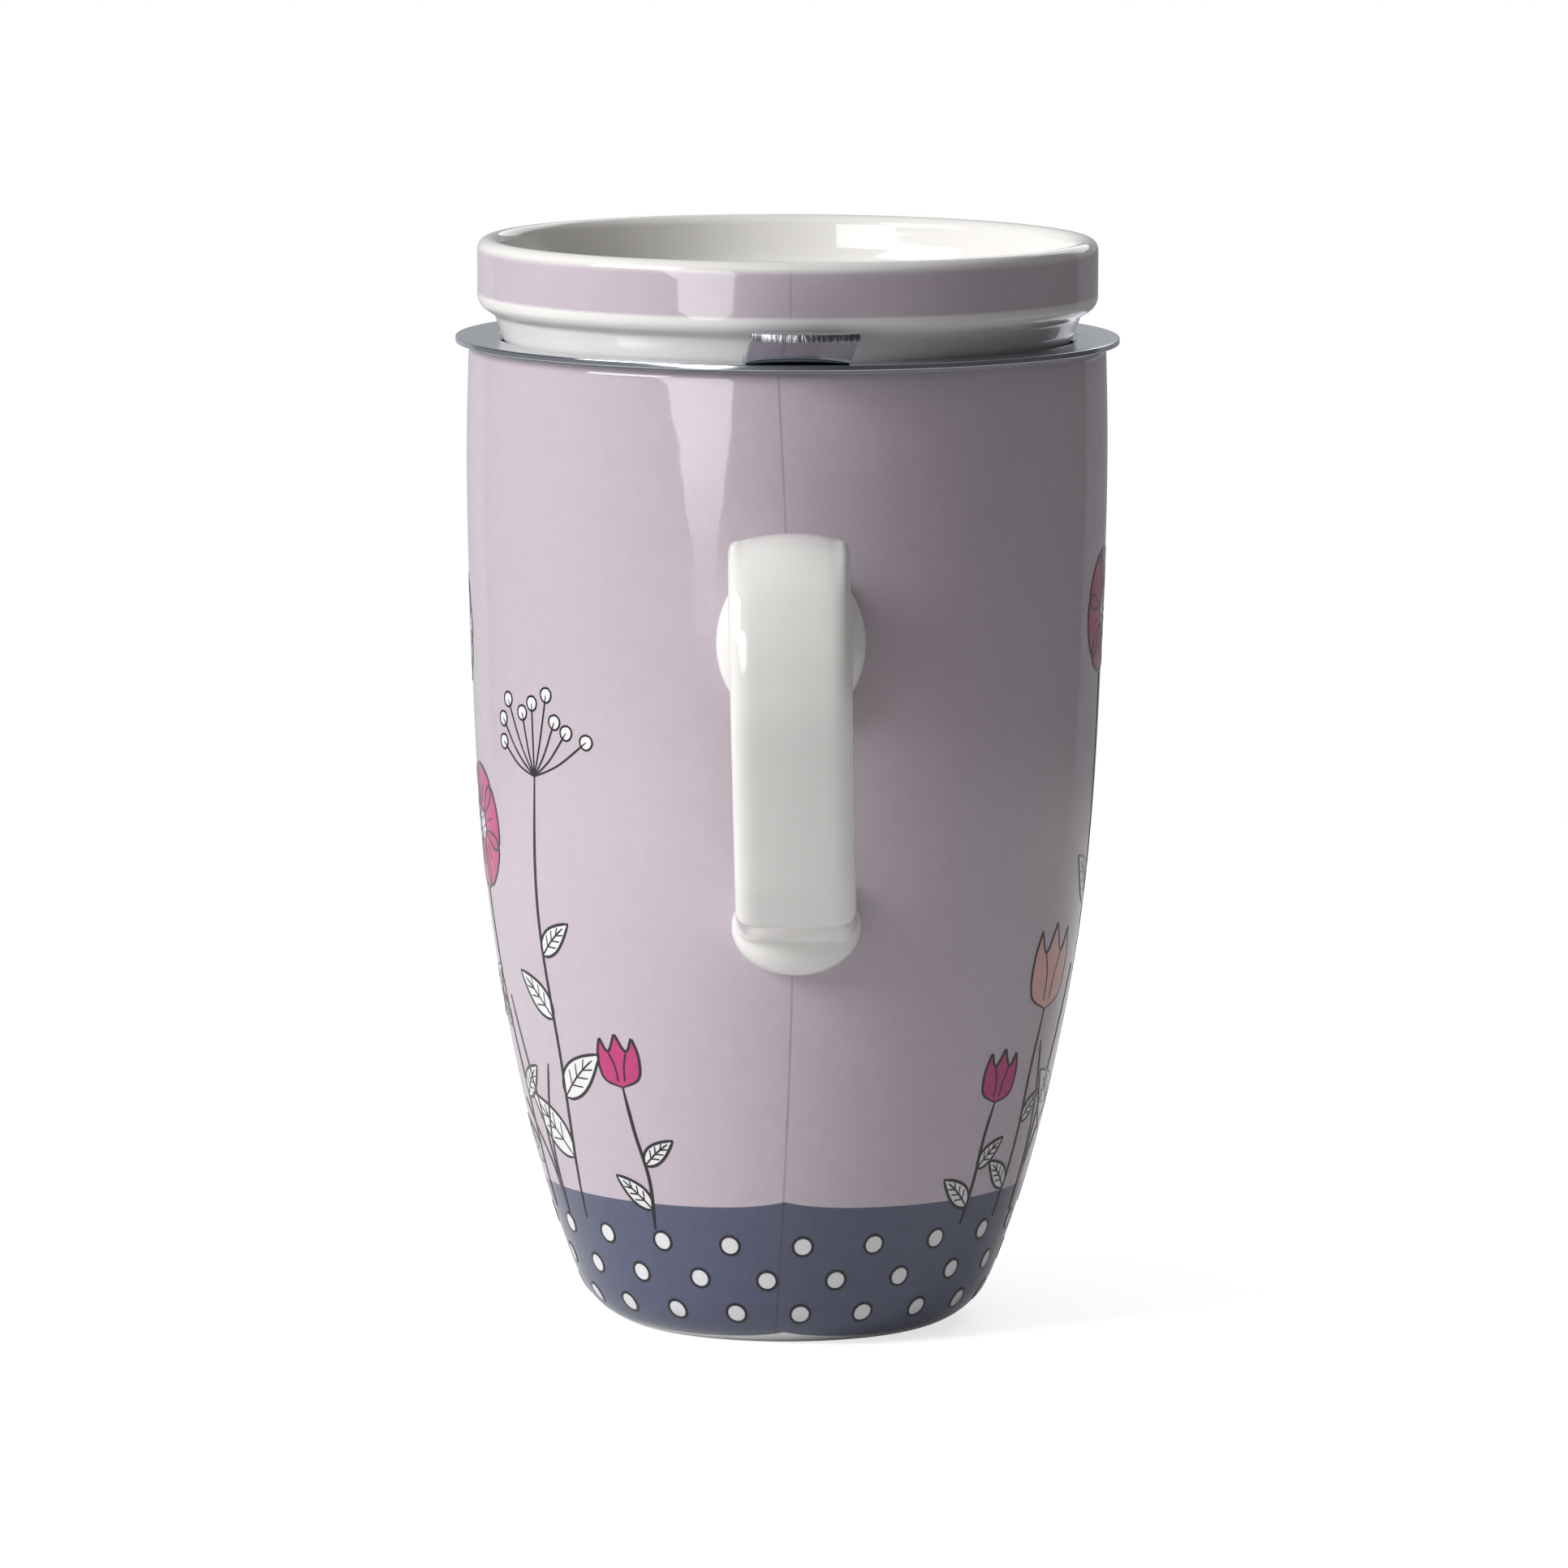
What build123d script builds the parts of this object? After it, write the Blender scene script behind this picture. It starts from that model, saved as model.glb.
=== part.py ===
"""Tall china tea mug with a lift-out steel infuser and a loose china lid.

Millimetres, +Z up. The origin is the centre of the foot ring, on the table, and the
handle points towards -Y. The infuser hangs by its flange on the lip of the mug, and
the lid stands with its skirt on the ledge inside the infuser's flange. Both lift
straight up. Each piece is written to parts/NODE.step.
"""
from build123d import *
import os
from math import cos, pi, radians, sin, tan

# ---- Mug body: a turned china wall on a foot ring ----------------------------------
MUG_HEIGHT = 135.6
BELLY_RADIUS = 44.1
BELLY_DROP = 15.6  # from the crest of the lip down to the widest place
WALL = 3.0

# How far the side stands in from the belly, going down in even steps to the heel.
UPPER_SIDE_INSET = 0.73
MIDDLE_SIDE_INSET = 2.48
LOWER_SIDE_INSET = 7.05
HEEL_INSET = 15.5
HEEL_HEIGHT = 6.3
HEEL_LEAN = 22.8  # degrees from upright, where the side meets the heel
MOUTH_INSET = 0.25
MOUTH_LEAN = 1.7

FOOT_INSET = 7.1  # from the heel in to the outside of the foot ring
FOOT_WIDTH = 3.5
FOOT_DEPTH = 1.6
FLOOR_THICKNESS = 4.9
FLOOR_CORNER = 8.0  # rounding between the inner floor and the inner side

# ---- Handle: one cast china strap, stuck on at two swollen roots -------------------
HANDLE_DROP = 36.6  # from the crest of the lip down to the upper root
ROOT_SPACING = 38.7
HANDLE_WIDTH = 16.2
HANDLE_THICKNESS = 8.2
HANDLE_EDGE_ROUNDING = 2.6
HANDLE_TILT = 1.3  # degrees, as it was stuck on by hand
HANDLE_SHIFT = 0.6  # sideways, as it was stuck on by hand

# Corners of the strap's middle line, each out from the wall and up from its root.
ARCH_REACH = 12.0
CROWN_REACH = 24.0
CROWN_RISE = 12.5
KNUCKLE_REACH = 29.5
KNUCKLE_FALL = 1.1
TOE_REACH = 16.2
TOE_RISE = 6.1
TOE_SLOPE = 15.0  # degrees that the strap falls from the toe in to the wall
BEND_SHARE = 0.48  # of the shorter run beside a bend, on each side of the corner
PALM_ROUNDING = 5.0  # inside the lower bend
TOE_FACET = 5.6  # height of the flatter facet above the toe
TOE_FACET_CUT = 1.2

UPPER_ROOT_WIDTH = 20.2
UPPER_ROOT_HEIGHT = 23.4
LOWER_ROOT_WIDTH = 17.6
LOWER_ROOT_HEIGHT = 13.4
ROOT_SWELL = 5.0  # how far a root's swelling reaches out of the wall

# ---- Infuser: welded from pressed stainless sheet ----------------------------------
SEAT_GAP = 0.1  # under a piece that stands on another
RIM_SHEET = 0.8
FLANGE_OVERHANG = 1.8  # outside the mouth of the mug
COLLAR_PLAY = 0.75  # all round, inside the mouth of the mug
RIM_BEND = 0.5  # inside radius of the rim's bends
LEDGE_DROP = 7.2  # from the top of the flange down to the ledge
LEDGE_WIDTH = 8.1  # from the collar in to the neck
NECK_LENGTH = 7.0

BASKET_SHEET = 0.4
PAN_SHEET = 0.5
LAP_GAP = 0.02  # between two sheets that are welded together
BASKET_GROUND = 44.5  # from the mug's inner floor up to the basket
PAN_HEIGHT = 8.0
PAN_BEND = 1.0
HOLE_DIAMETER = 1.7
HOLE_PITCH = 5.6
ROW_PITCH = 5.0
HOLE_MARGIN = 3.0  # plain sheet beyond the first and last row
HOLE_STAGGER = 0.5  # of a step, from one row of holes to the next
PUNCH_LENGTH = 4.0  # of the cutter that goes through the sheet
SEAM_WIDTH = 11.0  # plain strip down the sleeve for its welded seam

TAB_SHEET = 1.1
TAB_WIDTH = 13.8
TAB_FLARE = 1.8  # degrees that each side opens towards the lip
TAB_SKEW = 8.0  # degrees that its middle line leaves the radius
TAB_SETBACK = 0.85  # from the flange's edge in to the tab's bend
TAB_FOOT_LENGTH = 3.0
TAB_RISE = 3.6
TAB_LEAN = 52.0  # degrees from upright
TAB_LIP_LENGTH = 3.0
TAB_BEND = 0.3
TAB_LIP_ARC = 14.0  # radius of its rounded end, seen from above
TAB_TURN = 1.1  # degrees round from the handle, as the infuser was dropped in

# ---- Lid: a china dish on a skirt --------------------------------------------------
LID_HEIGHT = 20.6
LID_BAND_RADIUS = 42.65
LID_BAND_HEIGHT = 9.0
LID_SHOULDER_RISE = 1.5
LID_WALL = 3.0
LID_PLAY = 0.55  # all round, between the skirt and the collar's mouth
SKIRT_LEAN = 20.0  # degrees from upright
SKIRT_WALL = 2.8
SKIRT_FOOT_ROUNDING = 0.8
SHOULDER_ROUNDING = 2.2
SHOULDER_HOLLOW = 1.2  # rounding where the skirt meets the shoulder
DISH_DEPTH = 9.5
DISH_LEAN = 8.0  # degrees from upright
DISH_CORNER = 6.0
LID_FLOOR = 3.2
UNDERSIDE_CORNER = 2.0

# ---- Heights and radii that follow from those --------------------------------------
mouth_radius = BELLY_RADIUS - MOUTH_INSET
heel_radius = BELLY_RADIUS - HEEL_INSET
foot_radius = heel_radius - FOOT_INSET
lip_radius = WALL / 2
mouth_height = MUG_HEIGHT - lip_radius
belly_height = MUG_HEIGHT - BELLY_DROP
cavity_floor = FOOT_DEPTH + FLOOR_THICKNESS

upper_root = MUG_HEIGHT - HANDLE_DROP
lower_root = upper_root - ROOT_SPACING

flange_underside = MUG_HEIGHT + SEAT_GAP
flange_top = flange_underside + RIM_SHEET
flange_radius = mouth_radius + FLANGE_OVERHANG
collar_outer = mouth_radius - WALL - COLLAR_PLAY
collar_inner = collar_outer - RIM_SHEET
ledge_top = flange_top - LEDGE_DROP
ledge_underside = ledge_top - RIM_SHEET
neck_outer = collar_inner - LEDGE_WIDTH
neck_foot = ledge_underside - NECK_LENGTH

sleeve_inner = neck_outer + LAP_GAP
sleeve_outer = sleeve_inner + BASKET_SHEET
pan_inner = sleeve_outer + LAP_GAP
pan_outer = pan_inner + PAN_SHEET
pan_bottom = cavity_floor + BASKET_GROUND
sleeve_bottom = pan_bottom + PAN_SHEET + PAN_BEND
sleeve_top = ledge_underside - RIM_BEND - LAP_GAP

lid_foot = ledge_top + SEAT_GAP
lid_crest = lid_foot + LID_HEIGHT
lid_shoulder = lid_crest - LID_BAND_HEIGHT
dish_floor = lid_crest - DISH_DEPTH

EAST_VIEW = Plane(origin=(0, 0, 0), x_dir=(0, -1, 0), z_dir=(-1, 0, 0))


def turned(outline):
    """Solid turned about the Z axis from a closed outline of (radius, height)."""
    return revolve(Plane.YZ * make_face(outline), Axis.Z)


def leaning(angle):
    """Upward direction in an outline that leans outwards by an angle in degrees."""
    return Vector(sin(radians(angle)), cos(radians(angle)))


def beside(path, distance):
    """Corners of a mitred path that runs beside another one, on its left."""
    points = [Vector(*point) for point in path]
    normals = []
    for start, end in zip(points, points[1:]):
        normals.append((end - start).normalized().rotate(Axis.Z, 90))
    befores = normals[:1] + normals
    afters = normals + normals[-1:]
    corners = []
    for point, before, after in zip(points, befores, afters):
        corners.append(point + (before + after) * (distance / (1 + before.dot(after))))
    return corners


def bent_sheet(path, gauge, bend):
    """Closed outline of a sheet bent along a path, which is its right-hand face."""
    points = [Vector(*point) for point in path]
    near_radii = []
    far_radii = []
    for start, corner, end in zip(points, points[1:], points[2:]):
        turns_left = (corner - start).cross(end - corner).Z > 0
        near_radii.append(bend + gauge if turns_left else bend)
        far_radii.append(bend if turns_left else bend + gauge)
    near = FilletPolyline(*points, radius=near_radii)
    far = FilletPolyline(*beside(path, gauge), radius=far_radii)
    return near + far + Line(near @ 0, far @ 0) + Line(near @ 1, far @ 1)


# ---- Mug body ----------------------------------------------------------------------
def side_stations(thickness):
    """Points up the mug's side, a thickness in from its outside."""
    insets = (HEEL_INSET, LOWER_SIDE_INSET, MIDDLE_SIDE_INSET, UPPER_SIDE_INSET, 0)
    step = (belly_height - HEEL_HEIGHT) / (len(insets) - 1)
    stations = []
    for index, inset in enumerate(insets):
        stations.append((BELLY_RADIUS - inset - thickness, HEEL_HEIGHT + index * step))
    stations.append((mouth_radius - thickness, mouth_height))
    return stations


def outer_side():
    """Curve of the mug's outside from the heel up to the mouth."""
    return Spline(*side_stations(0), tangents=[leaning(HEEL_LEAN), leaning(-MOUTH_LEAN)])


def inner_side():
    """Curve of the mug's inside from the level of the heel up to the mouth."""
    return Spline(*side_stations(WALL), tangents=[leaning(HEEL_LEAN), leaning(-MOUTH_LEAN)])


def heel_curve():
    """Arc from the side down and in to the edge of the foot ring."""
    return TangentArc(side_stations(0)[0], (foot_radius, 0), tangent=leaning(HEEL_LEAN) * -1)


def mug_outside():
    """Solid filled out to the mug's outer surface, flat at the mouth."""
    cap = Polyline((foot_radius, 0), (0, 0), (0, mouth_height), (mouth_radius, mouth_height))
    return turned(heel_curve() + outer_side() + cap)


def mug_cavity():
    """Solid of the hollow inside the mug, up to the mouth, with a rounded floor."""
    side = inner_side()
    table_edge = side @ 0 - leaning(HEEL_LEAN) * (HEEL_HEIGHT / cos(radians(HEEL_LEAN)))
    cap = Polyline(side @ 0, table_edge, (0, 0), (0, mouth_height), side @ 1)
    hollow = split(turned(side + cap), Plane.XY.offset(cavity_floor), keep=Keep.TOP)
    floor_edge = hollow.edges().group_by(Axis.Z)[0]
    return fillet(floor_edge, FLOOR_CORNER)


def mug_lip():
    """Half-round lip on top of the wall."""
    outside = (mouth_radius, mouth_height)
    inside = (mouth_radius - WALL, mouth_height)
    crest = (mouth_radius - lip_radius, MUG_HEIGHT)
    return turned(ThreePointArc(outside, crest, inside) + Line(inside, outside))


def foot_recess():
    """Solid of the shallow recess inside the foot ring."""
    edge = foot_radius - FOOT_WIDTH
    corners = ((0, 0), (edge, 0), (edge - FOOT_DEPTH, FOOT_DEPTH), (0, FOOT_DEPTH))
    return turned(Polyline(*corners, close=True))


def make_mug_body():
    """Wall, floor, lip and foot ring in one china piece."""
    return mug_outside() - mug_cavity() - foot_recess() + mug_lip()


# ---- Handle ------------------------------------------------------------------------
def wall_radius(height):
    """Outer radius of the mug at a height."""
    level = Line((0, height), (2 * BELLY_RADIUS, height))
    return outer_side().intersect(level)[0].X


def bend_radii(path):
    """Radius of each bend in a path, which takes its share of the shorter run beside it."""
    points = [Vector(*point) for point in path]
    radii = []
    for start, corner, end in zip(points, points[1:], points[2:]):
        coming = corner - start
        going = end - corner
        half_turn = radians(coming.get_angle(going)) / 2
        radii.append(BEND_SHARE * min(coming.length, going.length) / tan(half_turn))
    return radii


def strap():
    """Bent strap with rounded long edges, its ends buried in the wall."""
    upper_wall = wall_radius(upper_root)
    lower_wall = wall_radius(lower_root)
    half = HANDLE_THICKNESS / 2
    toe_fall = (TOE_REACH + WALL) * tan(radians(TOE_SLOPE))
    middle = [
        (upper_wall - WALL, upper_root - WALL),
        (upper_wall + ARCH_REACH, upper_root + CROWN_RISE),
        (upper_wall + CROWN_REACH, upper_root + CROWN_RISE),
        (upper_wall + KNUCKLE_REACH, upper_root - KNUCKLE_FALL),
        (lower_wall + TOE_REACH, lower_root + TOE_RISE),
        (lower_wall - WALL, lower_root + TOE_RISE - toe_fall),
    ]
    bends = bend_radii(middle[:5])
    back = beside(middle, half)
    palm = beside(middle, -half)
    facet_top = back[4] + (back[3] - back[4]).normalized() * TOE_FACET
    toe = back[4] + (back[5] - back[4]).normalized() * TOE_FACET_CUT
    outside = FilletPolyline(*back[:4], facet_top, radius=[bend + half for bend in bends])
    inside = FilletPolyline(*palm, radius=[bend - half for bend in bends] + [PALM_ROUNDING])
    ends = Polyline(facet_top, toe, back[5], palm[5]) + Line(palm[0], back[0])
    side_face = EAST_VIEW * make_face(outside + inside + ends)
    blank = extrude(side_face, HANDLE_WIDTH / 2, both=True)
    sides = blank.faces().group_by(Axis.X)
    return fillet(sides[0].edges() + sides[-1].edges(), HANDLE_EDGE_ROUNDING)


def root_swelling(height, width, tall):
    """Flattened ball of china where the strap meets the wall."""
    ball = scale(Sphere(1), by=(width / 2, ROOT_SWELL, tall / 2))
    return Pos(0, -wall_radius(height), height) * ball


def make_handle():
    """Strap and its two swollen roots, trimmed to the mug's side."""
    upper = root_swelling(upper_root, UPPER_ROOT_WIDTH, UPPER_ROOT_HEIGHT)
    lower = root_swelling(lower_root, LOWER_ROOT_WIDTH, LOWER_ROOT_HEIGHT)
    blank = strap() + upper + lower
    pivot = Axis((0, 0, upper_root), (0, 1, 0))
    return Pos(HANDLE_SHIFT) * blank.rotate(pivot, -HANDLE_TILT) - mug_outside()


# ---- Infuser -----------------------------------------------------------------------
def make_infuser_rim():
    """Flange, collar, ledge and neck pressed from one sheet."""
    path = [
        (neck_outer, neck_foot),
        (neck_outer, ledge_underside),
        (collar_outer, ledge_underside),
        (collar_outer, flange_underside),
        (flange_radius, flange_underside),
    ]
    return turned(bent_sheet(path, RIM_SHEET, RIM_BEND))


def make_lift_tab():
    """Bent tongue that stands on the flange, to lift the infuser by."""
    bend = flange_radius - TAB_SETBACK
    lean_out = TAB_RISE * tan(radians(TAB_LEAN))
    end = bend + lean_out + TAB_LIP_LENGTH
    path = [
        (bend - TAB_FOOT_LENGTH, flange_top),
        (bend, flange_top),
        (bend + lean_out, flange_top + TAB_RISE),
        (end, flange_top + TAB_RISE),
    ]
    strip = extrude(
        EAST_VIEW * make_face(bent_sheet(path, TAB_SHEET, TAB_BEND)), TAB_WIDTH, both=True
    )
    start = bend - TAB_FOOT_LENGTH
    half_foot = TAB_WIDTH / 2
    half_lip = half_foot + (end - start) * tan(radians(TAB_FLARE))
    drift = (end - start) * tan(radians(TAB_SKEW))
    corner = end - TAB_LIP_ARC + (TAB_LIP_ARC**2 - half_lip**2) ** 0.5
    east_corner = (drift + half_lip, -corner)
    west_corner = (drift - half_lip, -corner)
    sides = Polyline(east_corner, (half_foot, -start), (-half_foot, -start), west_corner)
    plan = sides + ThreePointArc(west_corner, (drift, -end), east_corner)
    prism = extrude(Pos(0, 0, flange_top) * make_face(plan), 2 * TAB_RISE)
    return (strip & prism).rotate(Axis.Z, TAB_TURN)


def degrees_round(length, radius):
    """Angle in degrees that a length takes up round a radius."""
    return length / radius * 180 / pi


def sleeve_holes():
    """Cutters for the rows of holes round the sleeve, beside its plain seam."""
    cutter = Rot(Y=90) * Cylinder(HOLE_DIAMETER / 2, PUNCH_LENGTH)
    lowest = pan_bottom + PAN_HEIGHT + HOLE_MARGIN
    highest = neck_foot - HOLE_MARGIN
    rows = int((highest - lowest) / ROW_PITCH)
    perforated = 360 - degrees_round(SEAM_WIDTH, sleeve_outer)
    columns = int(perforated / degrees_round(HOLE_PITCH, sleeve_outer))
    step = perforated / columns
    cutters = []
    for row in range(rows + 1):
        height = (lowest + highest - rows * ROW_PITCH) / 2 + row * ROW_PITCH
        stagger = HOLE_STAGGER * step if row % 2 else 0
        first = 90 + (360 - perforated + (1 - HOLE_STAGGER) * step) / 2 + stagger
        for column in range(columns):
            turn = first + column * step
            cutters.append(Pos(0, 0, height) * Rot(Z=turn) * Pos(X=sleeve_outer) * cutter)
    return cutters


def make_infuser_sleeve():
    """Perforated tube, rolled and welded round the neck of the rim."""
    height = sleeve_top - sleeve_bottom
    tube = Cylinder(sleeve_outer, height) - Cylinder(sleeve_inner, height)
    tube = Pos(0, 0, sleeve_bottom + height / 2) * tube
    return tube - sleeve_holes()


def pan_holes():
    """Cutters for the rings of holes in the floor of the basket."""
    cutter = Cylinder(HOLE_DIAMETER / 2, PUNCH_LENGTH)
    rings = int((sleeve_inner - HOLE_MARGIN) / HOLE_PITCH)
    cutters = [Pos(0, 0, pan_bottom) * cutter]
    for ring in range(1, rings + 1):
        radius = ring * HOLE_PITCH
        count = 6 * ring
        for index in range(count):
            turn = 360 * index / count
            cutters.append(Pos(0, 0, pan_bottom) * Rot(Z=turn) * Pos(X=radius) * cutter)
    return cutters


def make_infuser_base():
    """Perforated pan welded round the foot of the sleeve."""
    path = [(0, pan_bottom), (pan_outer, pan_bottom), (pan_outer, pan_bottom + PAN_HEIGHT)]
    return turned(bent_sheet(path, PAN_SHEET, PAN_BEND)) - pan_holes()


# ---- Lid ---------------------------------------------------------------------------
def make_lid():
    """Dish with an upright band, a stepped shoulder and a leaning skirt."""
    mouth_level = flange_top - RIM_SHEET - RIM_BEND
    drift = tan(radians(SKIRT_LEAN))
    skirt_foot = collar_inner - LID_PLAY - (mouth_level - lid_foot) * drift
    step_height = lid_shoulder - LID_SHOULDER_RISE
    skirt_top = skirt_foot + (step_height - lid_foot) * drift
    inner_foot = skirt_foot - SKIRT_WALL
    underside = dish_floor - LID_FLOOR
    band_inner = LID_BAND_RADIUS - LID_WALL
    dish_radius = band_inner - (DISH_DEPTH - LID_WALL / 2) * tan(radians(DISH_LEAN))
    lip_height = lid_crest - LID_WALL / 2
    outside = FilletPolyline(
        (inner_foot, lid_foot),
        (skirt_foot, lid_foot),
        (skirt_top, step_height),
        (LID_BAND_RADIUS, lid_shoulder),
        (LID_BAND_RADIUS, lip_height),
        radius=[SKIRT_FOOT_ROUNDING, SHOULDER_HOLLOW, SHOULDER_ROUNDING],
    )
    lip = ThreePointArc(
        (LID_BAND_RADIUS, lip_height),
        (LID_BAND_RADIUS - LID_WALL / 2, lid_crest),
        (band_inner, lip_height),
    )
    dish = FilletPolyline(
        (band_inner, lip_height), (dish_radius, dish_floor), (0, dish_floor), radius=DISH_CORNER
    )
    below = FilletPolyline(
        (0, underside),
        (inner_foot + (underside - lid_foot) * drift, underside),
        (inner_foot, lid_foot),
        radius=UNDERSIDE_CORNER,
    )
    return turned(outside + lip + dish + Line((0, dish_floor), (0, underside)) + below)


# ---- Writing the pieces ------------------------------------------------------------
PIECES = {
    "mug_body": make_mug_body,
    "handle": make_handle,
    "infuser_rim": make_infuser_rim,
    "lift_tab": make_lift_tab,
    "infuser_sleeve": make_infuser_sleeve,
    "infuser_base": make_infuser_base,
    "lid": make_lid,
}

os.makedirs("parts", exist_ok=True)
for name, make_piece in PIECES.items():
    export_step(make_piece(), f"parts/{name}.step")
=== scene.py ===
"""Dresses the solids of a lidded tea mug: glazes, prints, polished steel and the stage.

Every mesh is in metres, in the frame of the solids: +Z up, the handle towards -Y. An
azimuth is measured round from the handle towards +X.
"""
import math

import bmesh
import bpy
import numpy as np
from bpy.props import FloatProperty, FloatVectorProperty, IntProperty, PointerProperty
from mathutils import Matrix, Vector
from mathutils.geometry import delaunay_2d_cdt


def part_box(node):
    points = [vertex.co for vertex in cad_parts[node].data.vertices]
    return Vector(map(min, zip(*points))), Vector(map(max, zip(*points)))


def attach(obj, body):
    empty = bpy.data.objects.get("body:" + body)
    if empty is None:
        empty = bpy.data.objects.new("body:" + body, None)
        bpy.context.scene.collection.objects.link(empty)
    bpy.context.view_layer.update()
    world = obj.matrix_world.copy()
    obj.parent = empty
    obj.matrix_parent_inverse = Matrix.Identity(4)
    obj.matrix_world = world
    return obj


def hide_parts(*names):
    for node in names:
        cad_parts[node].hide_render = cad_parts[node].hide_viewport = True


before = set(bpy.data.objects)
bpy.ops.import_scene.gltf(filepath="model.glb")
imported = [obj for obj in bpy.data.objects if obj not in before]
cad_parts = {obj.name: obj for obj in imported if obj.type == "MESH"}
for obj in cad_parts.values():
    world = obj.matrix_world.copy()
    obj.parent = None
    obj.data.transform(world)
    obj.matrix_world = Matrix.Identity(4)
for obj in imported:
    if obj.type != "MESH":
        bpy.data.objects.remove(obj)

bl_info = {
    "name": "Tea Mug Dresser",
    "version": (1, 0, 0),
    "blender": (4, 5, 0),
    "location": "View3D > Sidebar > Tea Mug",
    "description": "Glazes, prints and polishes the solids of a lidded tea mug",
    "category": "Object",
}

MM = 0.001


# ---- Settings ----------------------------------------------------------------------
def printed(red, green, blue):
    """Linear colour of an ink or glaze from its printed value, 0 to 255 each."""
    linear = []
    for value in (red, green, blue):
        share = value / 255
        low = share <= 0.04045
        linear.append(share / 12.92 if low else ((share + 0.055) / 1.055) ** 2.4)
    return tuple(linear)


def colour(name, description, *value):
    """Colour setting with a default given as a printed value."""
    return FloatVectorProperty(
        name=name,
        description=description,
        subtype="COLOR",
        min=0,
        max=1,
        default=printed(*value),
    )


def length(name, description, default):
    """Length setting in metres."""
    return FloatProperty(
        name=name, description=description, unit="LENGTH", default=default, precision=5
    )


def share_of_one(name, description, default):
    """Setting from 0 to 1."""
    return FloatProperty(
        name=name, description=description, subtype="FACTOR", default=default, min=0, max=1
    )


def power(name, description, default):
    """Lamp setting in watts."""
    return FloatProperty(name=name, description=description, subtype="POWER", default=default)


def brightness(name, description, default):
    """Light setting on a scale where the white background is 1."""
    return FloatProperty(name=name, description=description, default=default)


class TEAMUG_PG_china(bpy.types.PropertyGroup):
    """China body and its glaze."""

    white: colour("White glaze", "Colour of the bare white china", 235, 233, 230)
    biscuit: colour("Biscuit", "Colour of the unglazed foot ring", 222, 214, 202)
    gloss: share_of_one("Gloss roughness", "Roughness of the fired glaze", 0.055)
    ripple_length: length("Ripple length", "From crest to crest of the glaze's waves", 7.0 * MM)
    ripple_height: length("Ripple height", "Height of the glaze's waves", 0.045 * MM)
    peel_length: length("Peel length", "From dimple to dimple of the orange peel", 1.1 * MM)
    peel_height: length("Peel height", "Depth of the orange peel", 0.0016 * MM)
    crown: length("Crown", "How far the handle's faces fall away to their edges", 0.5 * MM)


class TEAMUG_PG_print(bpy.types.PropertyGroup):
    """Transfer print under the glaze."""

    lilac: colour("Lilac", "Colour of the upper print", 196, 183, 193)
    slate: colour("Slate", "Colour of the band at the foot", 86, 90, 114)
    line: colour("Line ink", "Colour of the drawn lines", 38, 33, 38)
    paper: colour("White ink", "Colour of the filled shapes", 232, 231, 232)
    magenta: colour("Magenta ink", "Colour of the bright blooms", 190, 56, 120)
    peach: colour("Peach ink", "Colour of the pale blooms", 226, 172, 164)
    top_margin: length("Top margin", "White china between the lilac and the lip", 0.5 * MM)
    slate_top: length("Slate top", "Height of the slate band's upper edge", 20.2 * MM)
    slate_bottom: length("Slate bottom", "Height of the slate band's lower edge", 0.75 * MM)
    cusp_height: length("Cusp height", "Rise of the band's edges at the seam", 1.2 * MM)
    cusp_width: length("Cusp width", "Reach of that rise to each side", 5.0 * MM)
    seam_width: length("Seam width", "Width of the line where the print overlaps", 0.28 * MM)
    seam_sway: length("Seam sway", "How far the seam bows sideways", 2.3 * MM)
    seam_shift: length("Seam shift", "Sideways place of the seam at the foot", -1.25 * MM)
    fill_lift: length("Fill thickness", "How far a filled shape stands on the glaze", 0.04 * MM)
    line_lift: length("Line thickness", "How far a drawn line stands on the glaze", 0.07 * MM)
    line_width: length("Line width", "Width of a drawn line", 0.4 * MM)
    dot_width: length("Dot width", "Diameter of a dot on the slate band", 2.9 * MM)
    dots_round: IntProperty(
        name="Dots round", description="Number of dots in one row", default=20, min=3
    )


class TEAMUG_PG_steel(bpy.types.PropertyGroup):
    """Stainless steel of the infuser."""

    tint: colour("Steel", "Reflection colour of the steel", 192, 195, 203)
    rim_roughness: share_of_one("Rim roughness", "Roughness of the polished rim", 0.13)
    edge_rounding: length("Edge rounding", "Radius of the tumbled sheet edges", 0.14 * MM)


class TEAMUG_PG_stage(bpy.types.PropertyGroup):
    """Camera, lamps and floor."""

    camera_distance: length("Camera distance", "From the mug's axis to the camera", 1.531)
    camera_height: length("Camera height", "Height of the camera over the table", 0.272)
    aim_height: length("Aim height", "Height on the mug's axis that the camera looks at", 0.075)
    focal_length: FloatProperty(
        name="Focal length", description="In millimetres on a 36 mm frame", default=256.45
    )
    roll: FloatProperty(
        name="Camera roll",
        description="Turn about the line of sight",
        subtype="ANGLE",
        unit="ROTATION",
        default=math.radians(0.2015),
    )
    key_power: power("Key power", "Power of the key lamp", 16.0)
    fill_power: power("Fill power", "Power of the soft lamp behind", 2.0)
    bounce: brightness("Bounce", "Light that the table scatters upwards", 0.18)
    gloom: brightness("Gloom", "Light that the dark studio scatters sideways", 0.02)
    zenith: brightness("Zenith", "Light of the soft box overhead", 0.5)


SETTINGS = {
    "teamug_china": TEAMUG_PG_china,
    "teamug_print": TEAMUG_PG_print,
    "teamug_steel": TEAMUG_PG_steel,
    "teamug_stage": TEAMUG_PG_stage,
}


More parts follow.
